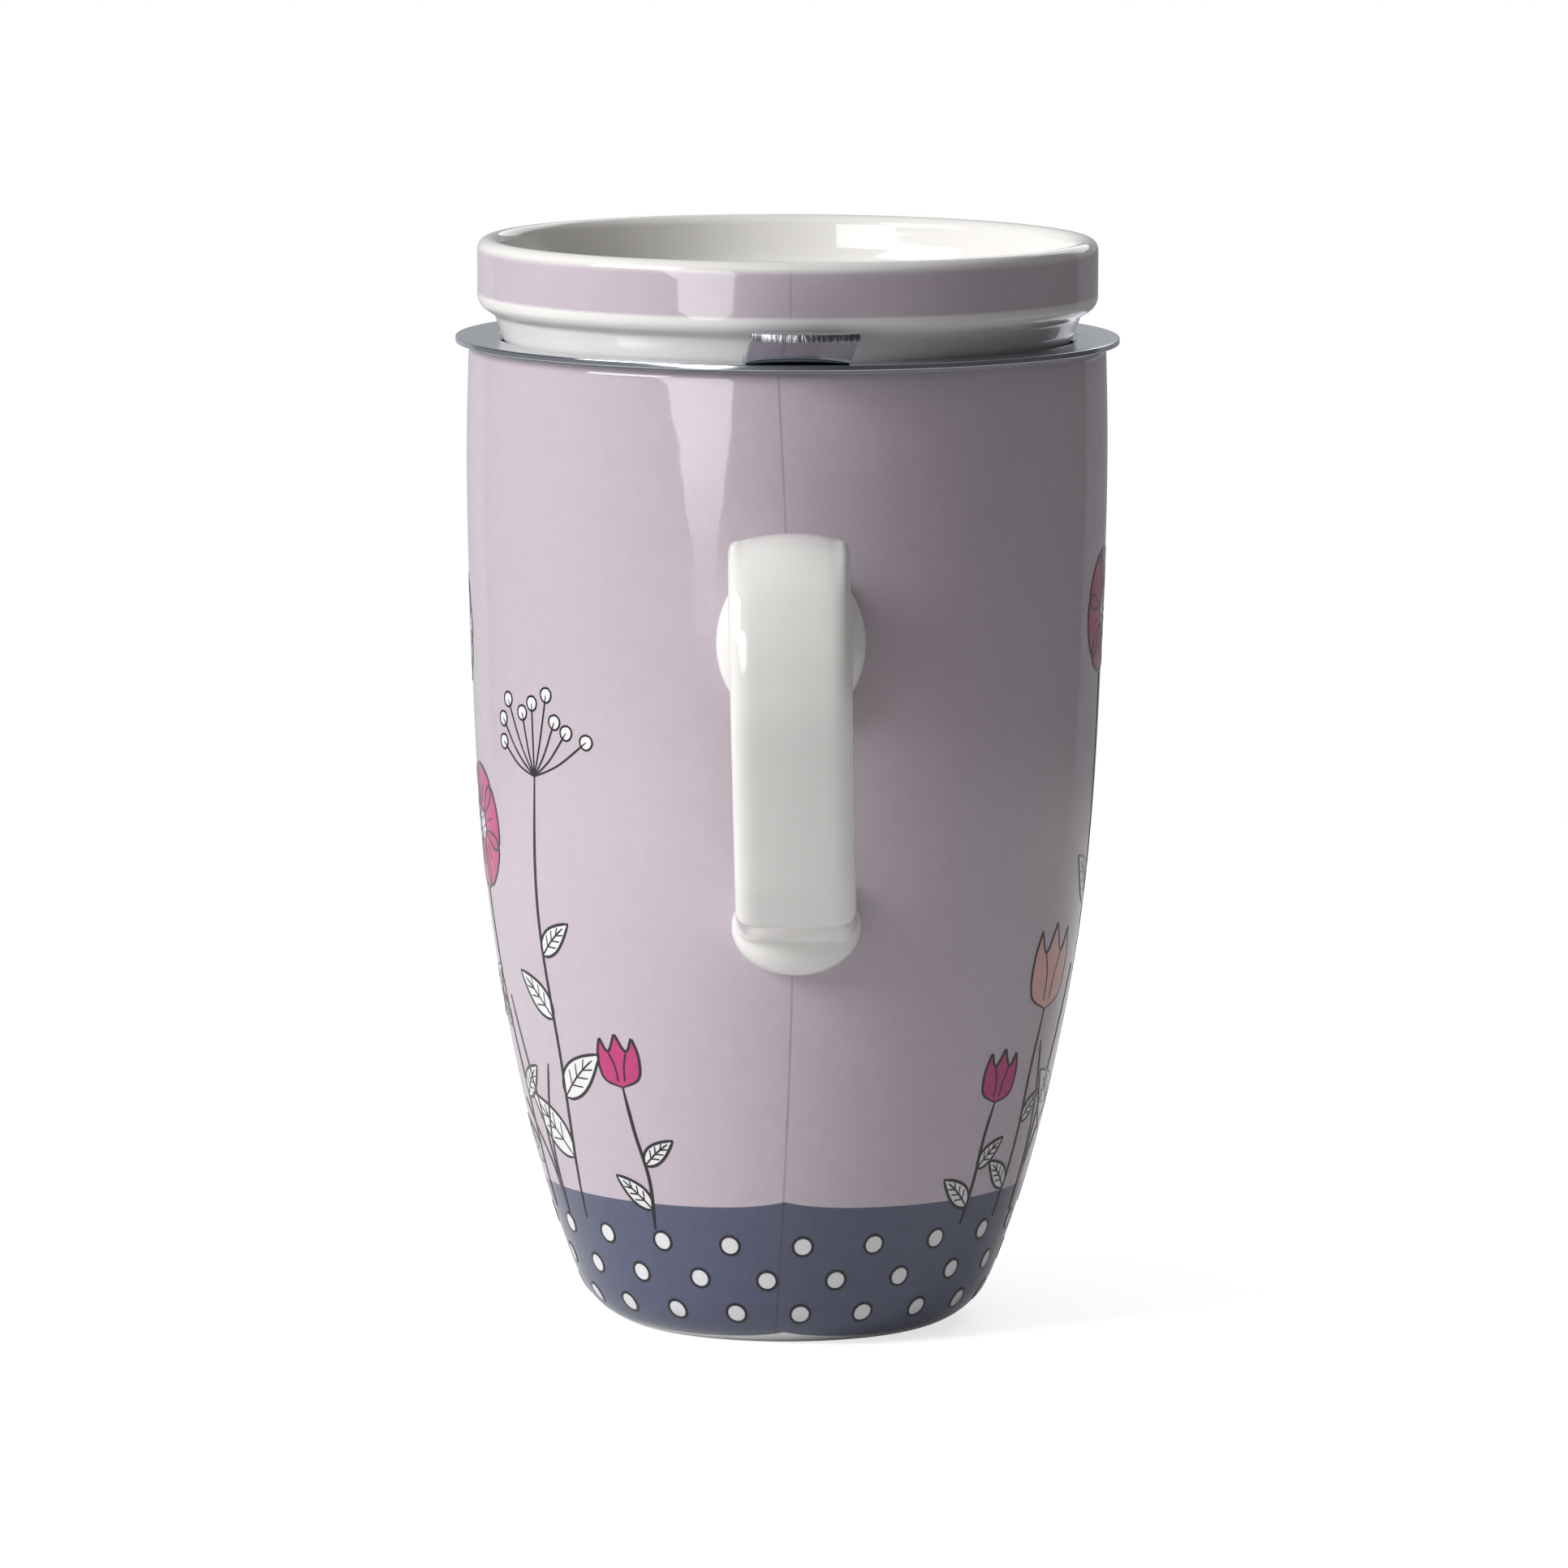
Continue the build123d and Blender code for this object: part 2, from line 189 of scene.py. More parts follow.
# ---- Outlines of the turned pieces -------------------------------------------------
SAME = 1e-6  # places nearer than this are one place
SEAM_DIGITS = 7  # to which points on the seam are rounded, so that they match
CRISP = math.radians(30)  # a turn sharper than this is an edge, and not a curve
LONG_RUN = 4.0  # a run this many times its neighbour's length is straight
EDGE_STEPS = 4  # along a rounded edge
EDGE_RUNS = 2.5  # a run is at least this many times as long as the rounding at its end


def seam_links(node):
    """Which points of a turned solid's outline are joined, read along its seam at +Y."""
    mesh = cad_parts[node].data
    seam = {}
    for vertex in mesh.vertices:
        x, y, z = vertex.co
        if abs(x) < SAME and y > SAME:
            seam[vertex.index] = (round(y, SEAM_DIGITS), round(z, SEAM_DIGITS))
    links = {}
    for edge in mesh.edges:
        ends = [seam.get(index) for index in edge.vertices]
        if None not in ends and ends[0] != ends[1]:
            links.setdefault(ends[0], set()).add(ends[1])
            links.setdefault(ends[1], set()).add(ends[0])
    loose = [point for point, near in links.items() if len(near) == 1]
    for point in loose:
        level = [other for other in loose if other != point and abs(other[1] - point[1]) < SAME]
        partner = level[0] if level else (0.0, point[1])
        links[point].add(partner)
        links.setdefault(partner, set()).add(point)
    return links


def outline(node):
    """Points (radius, height) round a turned solid's section, and whether they close."""
    links = seam_links(node)
    on_axis = sorted(point for point in links if point[0] == 0)
    start = on_axis[0] if on_axis else min(links)
    path = [start]
    ahead = min(links[start], key=lambda point: point[1])
    while ahead is not None:
        path.append(ahead)
        onward = [point for point in links[ahead] if point not in path]
        ahead = onward[0] if onward else None
    return [Vector(point) for point in path], not on_axis


def turn_at(before, corner, after):
    """Angle by which a path turns at a corner."""
    return (corner - before).angle(after - corner, 0.0)


def with_round_edges(path, closed, radius):
    """Path with its crisp corners rounded."""
    rounded_path = []
    count = len(path)
    for index, corner in enumerate(path):
        open_end = not closed and index in (0, count - 1)
        before, after = path[index - 1], path[(index + 1) % count]
        if open_end or turn_at(before, corner, after) < CRISP:
            rounded_path.append(corner)
            continue
        shorter = min((before - corner).length, (after - corner).length)
        reach = min(radius, shorter / EDGE_RUNS)
        start = corner + (before - corner).normalized() * reach
        end = corner + (after - corner).normalized() * reach
        for step in range(EDGE_STEPS + 1):
            share = step / EDGE_STEPS
            near = start.lerp(corner, share)
            rounded_path.append(near.lerp(corner.lerp(end, share), share))
    return rounded_path


def blended(before, corner, after, run):
    """Direction of a smooth curve at a corner, or of the run itself at a crisp one."""
    if before is None or after is None or turn_at(before, corner, after) > CRISP:
        return run.normalized()
    coming, going = corner - before, after - corner
    if coming.length > LONG_RUN * going.length:
        return coming.normalized()
    if going.length > LONG_RUN * coming.length:
        return going.normalized()
    mixed = going.normalized() * coming.length + coming.normalized() * going.length
    return mixed.normalized()


def filled_in(path, closed, step):
    """Path with cubic curves between its points, in steps no longer than one length."""
    count = len(path)
    fine = []
    for index in range(count if closed else count - 1):
        start, end = path[index], path[(index + 1) % count]
        before = path[index - 1] if closed or index else None
        after = path[(index + 2) % count] if closed or index + 2 < count else None
        run = end - start
        out = blended(before, start, end, run)
        into = blended(start, end, after, run)
        parts = max(1, math.ceil(run.length / step))
        for part in range(parts):
            t = part / parts
            fine.append(
                start * (2 * t**3 - 3 * t**2 + 1)
                + out * (run.length * (t**3 - 2 * t**2 + t))
                + end * (3 * t**2 - 2 * t**3)
                + into * (run.length * (t**3 - t**2))
            )
    if not closed:
        fine.append(path[-1])
    return fine


# ---- Meshes ------------------------------------------------------------------------
TURNS = 256  # strips round a turned piece
TURNED_EDGE = math.radians(50)  # a turned piece shows an edge where it turns more sharply
MERGE = 0.002 * MM  # corners of a solid nearer than this are joined


def at_azimuth(azimuth, radius, height):
    """Place at an azimuth in radians, a radius and a height."""
    return Vector((radius * math.sin(azimuth), -radius * math.cos(azimuth), height))


def shown(name, data):
    """Object of a mesh, lamp or camera, put into the scene."""
    holder = bpy.data.objects.new(name, data)
    bpy.context.scene.collection.objects.link(holder)
    return holder


def new_mesh(name, vertices, faces, materials):
    """Mesh from its vertices and faces."""
    mesh = bpy.data.meshes.new(name)
    mesh.from_pydata([tuple(v) for v in vertices], [], [tuple(f) for f in faces])
    for material in materials:
        mesh.materials.append(material)
    return mesh


def new_piece(name, vertices, faces, body, materials):
    """Smooth-shaded mesh piece that rides on a body of the frame."""
    mesh = new_mesh(name, vertices, faces, materials)
    mesh.shade_smooth()
    piece = shown(name, mesh)
    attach(piece, body)
    return piece


def turned_piece(name, path, closed, body, materials, material_of):
    """Closed mesh of a path turned about the Z axis."""
    vertices, rings = [], []
    for radius, height in path:
        ring = []
        for index in range(TURNS if radius > SAME else 1):
            ring.append(len(vertices))
            vertices.append(at_azimuth(2 * math.pi * index / TURNS, radius, height))
        rings.append(ring)
    faces, numbers = [], []
    for index in range(len(path) if closed else len(path) - 1):
        lower, upper = rings[index], rings[(index + 1) % len(path)]
        middle = (path[index] + path[(index + 1) % len(path)]) / 2
        number = material_of(middle[0], middle[1], index)
        for turn in range(TURNS):
            ahead = (turn + 1) % TURNS
            face = [lower[turn % len(lower)], lower[ahead % len(lower)]]
            face += [upper[ahead % len(upper)], upper[turn % len(upper)]]
            faces.append(list(dict.fromkeys(face)))
            numbers.append(number)
    piece = new_piece(name, vertices, faces, body, materials)
    piece.data.polygons.foreach_set("material_index", numbers)
    bm = bmesh.new()
    bm.from_mesh(piece.data)
    bmesh.ops.recalc_face_normals(bm, faces=bm.faces)
    bm.to_mesh(piece.data)
    bm.free()
    piece.data.set_sharp_from_angle(angle=TURNED_EDGE)
    return piece


def closed_behind(vertices, faces, step):
    """Open patch closed with a copy of itself one step away and a wall round its edge."""
    count = len(vertices)
    behind = [vertex + step for vertex in vertices]
    closed = list(faces) + [tuple(count + index for index in reversed(face)) for face in faces]
    edges = set()
    for face in faces:
        for start, end in zip(face, face[1:] + face[:1]):
            edges.add((start, end))
    for start, end in sorted(edges):
        if (end, start) not in edges:
            closed.append((start, count + start, count + end, end))
    return vertices + behind, closed


# ---- Node trees --------------------------------------------------------------------
MOST = (0.3, 0.7)  # range in which most of a noise lies


class Graph:
    """Node tree, built a node at a time."""

    def __init__(self, owner):
        owner.use_nodes = True
        self.tree = owner.node_tree

    def add(self, kind, **settings):
        """New node with its plain settings."""
        node = self.tree.nodes.new(kind)
        for key, value in settings.items():
            setattr(node, key, value)
        return node

    def feed(self, socket, value):
        """Link a socket to another one, or set its own value."""
        if isinstance(value, bpy.types.NodeSocket):
            self.tree.links.new(value, socket)
        else:
            socket.default_value = value

    def fed(self, kind, *values, **settings):
        """First output of a new node whose sockets are fed in order."""
        node = self.add(kind, **settings)
        for socket, value in zip(node.inputs, values):
            self.feed(socket, value)
        return node.outputs[0]

    def math(self, operation, *values):
        """Arithmetic on one, two or three values."""
        return self.fed("ShaderNodeMath", *values, operation=operation)

    def ramp(self, value, low, high, start=0.0, end=1.0):
        """Value mapped smoothly from one range to another, and held at its ends."""
        limits = (low, high, start, end)
        return self.fed("ShaderNodeMapRange", value, *limits, interpolation_type="SMOOTHSTEP")

    def mix(self, share, first, second):
        """Blend of two colours."""
        node = self.add("ShaderNodeMix", data_type="RGBA")
        self.feed(node.inputs["Factor"], share)
        for socket, value in zip(node.inputs[6:8], (first, second)):
            is_link = isinstance(value, bpy.types.NodeSocket)
            self.feed(socket, value if is_link else (*value[:3], 1.0))
        return node.outputs[2]

    def split(self, place):
        """The x, y and z of a place or a direction."""
        node = self.add("ShaderNodeSeparateXYZ")
        self.feed(node.inputs[0], place)
        return node.outputs

    def from_axis(self, x, y):
        """Distance of a place from the Z axis."""
        square = self.math("ADD", self.math("MULTIPLY", x, x), self.math("MULTIPLY", y, y))
        return self.math("SQRT", square)


class Recipe(Graph):
    """Node material."""

    def __init__(self, name):
        self.material = bpy.data.materials.new(name)
        super().__init__(self.material)
        self.shader = self.tree.nodes["Principled BSDF"]
        self.surface = self.tree.nodes["Material Output"].inputs["Surface"]
        self.place = self.add("ShaderNodeTexCoord").outputs["Object"]

    def set(self, **values):
        """Set or feed the shader's sockets, named with underscores for spaces."""
        for key, value in values.items():
            self.feed(self.shader.inputs[key.replace("_", " ")], value)

    def noise(self, size, detail, roughness=0.5, place=None, offset=0.0):
        """Noise from 0 to 1 with waves of one size, in metres."""
        node = self.add("ShaderNodeTexNoise", noise_dimensions="4D")
        self.feed(node.inputs["Vector"], place or self.place)
        self.feed(node.inputs["W"], offset)
        self.feed(node.inputs["Scale"], 1 / size)
        self.feed(node.inputs["Detail"], detail)
        self.feed(node.inputs["Roughness"], roughness)
        return node.outputs["Fac"]

    def spread(self, noise, start=0.0, end=1.0):
        """Noise mapped from the range where most of it lies to another one."""
        return self.ramp(noise, *MOST, start, end)

    def about(self, noise, value):
        """A value that noise makes up to a fifth less or a quarter more."""
        return self.spread(noise, value * 0.8, value * 1.25)

    def waves(self, size, height):
        """Height of soft waves of one size."""
        return self.math("MULTIPLY", self.noise(size, detail=1.0), height)

    def bump(self, height):
        """Normal for a height in metres."""
        node = self.add("ShaderNodeBump")
        self.feed(node.inputs["Height"], height)
        self.feed(node.inputs["Distance"], 1.0)
        return node.outputs["Normal"]

    def dents(self, pattern, depth):
        """Normal for a pattern from 0 to 1 that is as deep as one length."""
        return self.bump(self.math("MULTIPLY", pattern, depth))

    def height(self):
        """Height of the place over the table."""
        return self.split(self.place)[2]

    def round_arc(self):
        """Distance round from the handle at the place's own radius, and that radius."""
        x, y, _ = self.split(self.place)
        radius = self.from_axis(x, y)
        angle = self.math("ARCTAN2", x, self.math("MULTIPLY", y, -1.0))
        return self.math("MULTIPLY", angle, radius), radius

    def glow(self, strength):
        """White light of its own."""
        node = self.add("ShaderNodeEmission")
        self.feed(node.inputs["Strength"], strength)
        return node.outputs[0]


class Sky(Graph):
    """Node world whose brightness depends on the direction."""

    def __init__(self, name):
        self.world = bpy.data.worlds.new(name)
        super().__init__(self.world)
        self.tree.nodes.clear()
        self.direction = self.add("ShaderNodeTexCoord").outputs["Generated"]
        self.rays = self.add("ShaderNodeLightPath").outputs

    def blend(self, share, first, second):
        """Blend of two brightnesses."""
        return self.math("MULTIPLY_ADD", share, self.math("SUBTRACT", second, first), first)


# ---- China and prints --------------------------------------------------------------
GLAZE_IOR = 1.5
HAZE_SIZE = 11 * MM  # of the duller clouds in the glaze
POOL_SIZE = 14 * MM  # of the drift in tone where white glaze pools
LIGHT_DEPTH = (1.0, 0.9, 0.8)  # to which china lets in each colour, as shares of 2 mm
SPECK_SIZE = 0.5 * MM
SPECK_TINT = (0.2, 0.17, 0.14)
SPECK_RANGE = (0.7, 0.76)  # of the noise, so that specks are few
GRIT_SIZE = 0.22 * MM  # of bare china's grain
GRIT_DEPTH = 0.02 * MM
FIRED_SIZE = 3 * MM  # of the drift in tone of bare china
SCREEN_SIZE = 2.6 * MM  # of the transfer print's screen
SCREEN_RANGE = (0.32, 0.68)
PRINT_BLUR = 0.06 * MM  # to each side of the line where one ink gives way to another
LAP_DARKNESS = 0.5  # share of line ink where a print overlaps itself
LAP_BLUR = 0.1 * MM
LAP_FADES = 5 * MM  # size of the stretches over which the overlap is fainter
LAP_STRENGTH = (0.25, 0.75, 0.3, 0.75)  # range of the noise, and strength at its ends
LID_LAP_PLACE = 0.4 * MM  # of the lid's overlap, round from the handle
LID_LAP_EDGES = (0.05 * MM, 0.2 * MM)  # distances at which it begins to fade and ends
LID_LAP_STRENGTH = 0.45
LID_LOW_BLUR = 0.3 * MM
LID_HIGH_BLUR = 0.6 * MM


def between(recipe, share, tint, depth):
    """Tint that goes from slightly darker to slightly lighter with a share."""
    light = [min(1.0, value * (1 + depth)) for value in tint]
    dark = [value * (1 - depth) for value in tint]
    return recipe.mix(share, dark, light)


def toned(recipe, tint, depth, size):
    """Colour that drifts in clouds of one size."""
    return between(recipe, recipe.spread(recipe.noise(size, detail=4.0)), tint, depth)


def print_grain(recipe, tint, depth=0.02):
    """Ink with the fine screen of a transfer print."""
    screen = recipe.noise(SCREEN_SIZE, detail=5.0, roughness=0.7)
    return between(recipe, recipe.ramp(screen, *SCREEN_RANGE), tint, depth)


def glazed(recipe, base):
    """Clear glaze with soft ripples and a fine orange peel over a base colour."""
    china = bpy.context.scene.teamug_china
    ripple = recipe.waves(china.ripple_length, china.ripple_height)
    peel = recipe.waves(china.peel_length, china.peel_height)
    haze = recipe.noise(HAZE_SIZE, detail=3.0, offset=2.0)
    recipe.set(
        Base_Color=base,
        Roughness=recipe.about(haze, china.gloss),
        Normal=recipe.bump(recipe.math("ADD", ripple, peel)),
        IOR=GLAZE_IOR,
    )
    return recipe.material


def white_glaze():
    """White china under a clear glaze, with a faint warm drift where it pools."""
    recipe = Recipe("white_glaze")
    white = bpy.context.scene.teamug_china.white
    recipe.set(Subsurface_Weight=0.12, Subsurface_Radius=LIGHT_DEPTH, Subsurface_Scale=2 * MM)
    return glazed(recipe, toned(recipe, white, depth=0.012, size=POOL_SIZE))


def biscuit():
    """Bare fired china of the foot ring, matt, with a few dark specks."""
    recipe = Recipe("biscuit_china")
    tint = bpy.context.scene.teamug_china.biscuit
    bare = toned(recipe, tint, depth=0.05, size=FIRED_SIZE)
    speck = recipe.ramp(recipe.noise(SPECK_SIZE, detail=1.0), *SPECK_RANGE, end=0.35)
    grit = recipe.noise(GRIT_SIZE, detail=3.0)
    recipe.set(
        Base_Color=recipe.mix(speck, bare, SPECK_TINT),
        Roughness=recipe.spread(grit, 0.55, 0.8),
        Normal=recipe.dents(grit, GRIT_DEPTH),
    )
    return recipe.material


def overlapped(recipe, seam, ink):
    """Ink that is darker where the print overlaps itself."""
    line = bpy.context.scene.teamug_print.line
    return recipe.mix(seam, ink, recipe.mix(LAP_DARKNESS, ink, line))


def mug_seam(recipe, arc, height, top):
    """Share of the mug's overlap line, which bows sideways up the side."""
    inks = bpy.context.scene.teamug_print
    wave = recipe.math("SINE", recipe.math("MULTIPLY", height, math.pi / top))
    middle = recipe.math("MULTIPLY_ADD", wave, inks.seam_sway, inks.seam_shift)
    off = recipe.math("ABSOLUTE", recipe.math("SUBTRACT", arc, middle))
    strength = recipe.ramp(recipe.noise(LAP_FADES, detail=2.0, offset=5.0), *LAP_STRENGTH)
    edge = inks.seam_width / 2 + LAP_BLUR
    line = recipe.ramp(off, inks.seam_width / 4, edge, 1.0, 0.0)
    return recipe.math("MULTIPLY", line, strength)


def lid_seam(recipe, arc):
    """Share of the lid's overlap line."""
    off = recipe.math("ABSOLUTE", recipe.math("SUBTRACT", arc, LID_LAP_PLACE))
    return recipe.ramp(off, *LID_LAP_EDGES, LID_LAP_STRENGTH, 0.0)


def mug_print(top):
    """Lilac print with a slate band at the foot, and the seam by the handle."""
    recipe = Recipe("mug_print")
    inks, white = bpy.context.scene.teamug_print, bpy.context.scene.teamug_china.white
    arc, _ = recipe.round_arc()
    height = recipe.height()
    off_seam = recipe.math("DIVIDE", recipe.math("ABSOLUTE", arc), -inks.cusp_width)
    cusp = recipe.math("MULTIPLY", recipe.math("EXPONENT", off_seam), inks.cusp_height)
    lifted = recipe.math("SUBTRACT", height, cusp)

    def above(place, level):
        return recipe.ramp(place, level - PRINT_BLUR, level + PRINT_BLUR)

    slate = print_grain(recipe, inks.slate, depth=0.05)
    lilac = print_grain(recipe, inks.lilac)
    ink = recipe.mix(above(lifted, inks.slate_top), slate, lilac)
    ink = overlapped(recipe, mug_seam(recipe, arc, height, top), ink)
    ink = recipe.mix(above(lifted, inks.slate_bottom), white, ink)
    return glazed(recipe, recipe.mix(above(height, top - inks.top_margin), ink, white))


def lid_print(low, high):
    """Lilac band round the lid between two heights, white above and below."""
    recipe = Recipe("lid_print")
    inks, white = bpy.context.scene.teamug_print, bpy.context.scene.teamug_china.white
    arc, _ = recipe.round_arc()
    height = recipe.height()
    over = recipe.ramp(height, low - LID_LOW_BLUR, low + LID_LOW_BLUR)
    under = recipe.ramp(height, high - LID_HIGH_BLUR, high + LID_HIGH_BLUR, 1.0, 0.0)
    ink = overlapped(recipe, lid_seam(recipe, arc), print_grain(recipe, inks.lilac))
    return glazed(recipe, recipe.mix(recipe.math("MULTIPLY", over, under), white, ink))


def flat_ink(name, tint):
    """Glazed ink of one colour for a printed shape."""
    recipe = Recipe(name)
    return glazed(recipe, print_grain(recipe, tint, depth=0.03))


# ---- Steel -------------------------------------------------------------------------
LINE_SIZE = 0.12 * MM  # of the fine polishing lines
LINE_DEPTH = 0.0006 * MM
LINE_STRETCH = 0.02  # share left of the way round, so that the lines run round
CLOUD_SIZE = 6 * MM
CLOUD_SHADE = 0.94  # of the steel's darker clouds
STREAK_SIZE = 0.32 * MM  # of the streaks on a sheared edge
STREAK_DEPTH = 0.12 * MM
STREAK_STRETCH = 0.12  # share left of the height, so that the streaks stand upright
STREAK_SHADE = 0.16
STREAK_RANGE = (0.42, 0.66)
STREAK_ROUGHNESS = (0.35, 0.65, 0.42, 0.24)  # range of the noise, and roughness at its ends
WELD_GRAIN = 0.35 * MM
WELD_RANGE = (0.35, 0.65)
WELD_DEPTH = 0.02 * MM
STRAW = (0.8, 0.68, 0.5)  # what the heat of a weld leaves of each colour


def times(tint, shade):
    """Tint with each of its values times a shade."""
    return [value * shade for value in tint]


def metal(recipe, **finish):
    """Shader set as bare metal with a finish."""
    recipe.set(Metallic=1.0, **finish)
    return recipe.material


def steel(name, roughness, shade=1.0, lined_round=False):
    """Stainless steel with a fine grain, which can be drawn out into lines round the axis; a shade
    under 1 is painted shade that darkens its colour.
    """
    recipe = Recipe(name)
    # a shade under 1 darkens the steel's own colour: painted shade
    light = times(bpy.context.scene.teamug_steel.tint, shade)
    place = recipe.place
    if lined_round:
        arc, radius = recipe.round_arc()
        drawn = recipe.math("MULTIPLY", arc, LINE_STRETCH)
        place = recipe.fed("ShaderNodeCombineXYZ", drawn, radius, recipe.height())
    lines = recipe.noise(LINE_SIZE, detail=4.0, roughness=0.7, place=place)
    cloud = recipe.spread(recipe.noise(CLOUD_SIZE, detail=3.0))
    return metal(
        recipe,
        Base_Color=recipe.mix(cloud, times(light, CLOUD_SHADE), light),
        Roughness=recipe.about(lines, roughness),
        Normal=recipe.dents(lines, LINE_DEPTH),
    )


def sheared_steel():
    """Cut edge of the sheet, with the upright streaks that the shear leaves."""
    recipe = Recipe("sheared_steel")
    tint = bpy.context.scene.teamug_steel.tint
    x, y, z = recipe.split(recipe.place)
    upward = recipe.math("MULTIPLY", z, STREAK_STRETCH)
    inward = recipe.math("MULTIPLY", y, STREAK_STRETCH)
    place = recipe.fed("ShaderNodeCombineXYZ", x, upward, inward)
    streaks = recipe.noise(STREAK_SIZE, detail=3.0, roughness=0.65, place=place)
    bright = recipe.ramp(streaks, *STREAK_RANGE)
    return metal(
        recipe,
        Base_Color=recipe.mix(bright, times(tint, STREAK_SHADE), tint),
        Roughness=recipe.ramp(streaks, *STREAK_ROUGHNESS),
        Normal=recipe.dents(streaks, STREAK_DEPTH),
    )


def weld_steel():
    """Fused steel with a straw-coloured heat tint."""
    recipe = Recipe("weld_steel")
    tint = bpy.context.scene.teamug_steel.tint
    grain = recipe.noise(WELD_GRAIN, detail=3.0, roughness=0.6)
    straw = [value * left for value, left in zip(tint, STRAW)]
    return metal(
        recipe,
        Base_Color=recipe.mix(recipe.ramp(grain, *WELD_RANGE), straw, tint),
        Roughness=recipe.spread(grain, 0.3, 0.45),
        Normal=recipe.dents(grain, WELD_DEPTH),
    )


# ---- The wall that is printed ------------------------------------------------------
MUG_EDGE = 0.35 * MM  # radius of the mug's crisp edges under the glaze
MUG_STEP = 1.0 * MM
WALL_PROBE = 0.5 * MM  # above and below a point, to find the wall's slope there


def mug_outline():
    """Fine outline of the mug's body, clear of the table, and whether it closes."""
    path, closed = outline("mug_body")
    fine = filled_in(with_round_edges(path, closed, MUG_EDGE), closed, MUG_STEP)
    return [Vector((point[0], max(point[1], 0.0))) for point in fine], closed


class Wall:
    """Outer side of the mug: where a printed point lies, by azimuth and height."""

    def __init__(self):
        fine, _ = mug_outline()
        widest = max(range(len(fine)), key=lambda index: fine[index][0])
        standing = [index for index in range(widest) if abs(fine[index][1]) < SAME]
        foot = max(standing, key=lambda index: fine[index][0])
        side = fine[foot : widest + 1]
        for point in fine[widest + 1 :]:
            if point[1] < side[-1][1]:
                break
            side.append(point)
        self.heights = np.array([point[1] for point in side])
        self.radii = np.array([point[0] for point in side])

    def radius(self, height):
        """Radius of the outer side at a height."""
        return float(np.interp(height, self.heights, self.radii))

    def point(self, azimuth, height, lift):
        """Place on the side, lifted off it, and the outward normal there."""
        rise = self.radius(height + WALL_PROBE) - self.radius(height - WALL_PROBE)
        slope = rise / (2 * WALL_PROBE)
        size = math.hypot(1, slope)
        normal = at_azimuth(azimuth, 1 / size, -slope / size)
        return at_azimuth(azimuth, self.radius(height), height) + normal * lift, normal


# ---- The drawing, flat and in millimetres ------------------------------------------
EDGE_STEP = 0.7  # between points on the edge of a filled shape
GRID_STEP = 0.9  # between points inside it, so that it bends with the wall
PEN_STEP = 0.5  # between points along a line
PEN_TIP = 0.45  # width of a line's ends, as a share of its full width
PEN_SWELL = 2.2  # how soon a line reaches its full width
RING_SIDES = 28
CLOSE = 1e-5  # points nearer than this are joined


class Drawing:
    """Flat shapes, sorted by ink, to be wrapped on the wall."""

    def __init__(self, wall):
        self.wall = wall
        self.anchor = (0.0, 0.0)
        self.patches = {}

    def stand_at(self, azimuth, ground):
        """Draw what follows round one place on the wall."""
        self.anchor = (azimuth, ground)

    def add(self, ink, points, faces):
        """Keep a flat patch with its place on the wall."""
        self.patches.setdefault(ink, []).append((self.anchor, points, faces))

    def fill(self, ink, edge):
        """Filled shape from its closed edge."""
        rim = resampled(edge + edge[:1], EDGE_STEP)[:-1]
        inner = []
        low = Vector((min(p[0] for p in rim), min(p[1] for p in rim)))
        high = Vector((max(p[0] for p in rim), max(p[1] for p in rim)))
        for column in range(1, math.ceil((high[0] - low[0]) / GRID_STEP)):
            for row in range(1, math.ceil((high[1] - low[1]) / GRID_STEP)):
                inner.append(low + Vector((column, row)) * GRID_STEP)
        result = delaunay_2d_cdt(rim + inner, [], [list(range(len(rim)))], 1, CLOSE)
        self.add(ink, result[0], result[2])

    def line(self, points, width=None):
        """Pen line that thins towards its two ends."""
        full = width or bpy.context.scene.teamug_print.line_width / MM
        track = resampled(points, PEN_STEP)
        count = len(track)
        places, faces = [], []
        for index, point in enumerate(track):
            ahead = track[min(index + 1, count - 1)] - track[max(index - 1, 0)]
            share = math.sin(math.pi * (index + 0.6) / (count + 0.2))
            half = full / 2 * (PEN_TIP + (1 - PEN_TIP) * min(1.0, PEN_SWELL * share))
            side = across(ahead).normalized() * half
            places += [point + side, point - side]
            if index:
                base = 2 * index
                faces.append((base - 2, base - 1, base + 1, base))
        self.add("line", places, faces)

    def ring(self, middle, radius, width, wobble=0.0):
        """Pen line round a circle."""
        places, faces = [], []
        for index, point in enumerate(around(middle, radius, RING_SIDES, wobble)):
            side = (point - middle).normalized() * width / 2
            places += [point + side, point - side]
            here, ahead = 2 * index, 2 * ((index + 1) % RING_SIDES)
            faces.append((here, ahead, ahead + 1, here + 1))
        self.add("line", places, faces)

    def place(self, anchor, point, lift):
        """A flat point wrapped on the wall at its true width."""
        azimuth, ground = anchor
        height = ground + point[1] * MM
        angle = azimuth + point[0] * MM / self.wall.radius(height)
        return self.wall.point(angle, height, lift)

    def wrap(self, name, ink, lift, material):
        """Thin closed piece of one ink, bent round the mug."""
        vertices, faces, normals = [], [], []
        for anchor, points, flat_faces in self.patches[ink]:
            base, count = len(vertices), len(points)
            for level in (lift, -lift / 2):
                for point in points:
                    place, normal = self.place(anchor, point, level)
                    vertices.append(place)
                    normals.append(normal)
            edges = {}
            for face in flat_faces:
                ordered = upright(points, face)
                faces.append([base + index for index in ordered])
                faces.append([base + count + index for index in reversed(ordered)])
                for start, end in zip(ordered, ordered[1:] + ordered[:1]):
                    if (end, start) in edges:
                        edges.pop((end, start))
                    else:
                        edges[start, end] = True
            for start, end in edges:
                faces.append([base + start, base + count + start, base + count + end, base + end])
        piece = new_piece(name, vertices, faces, "mug", [material])
        piece.data.normals_split_custom_set_from_vertices(normals)


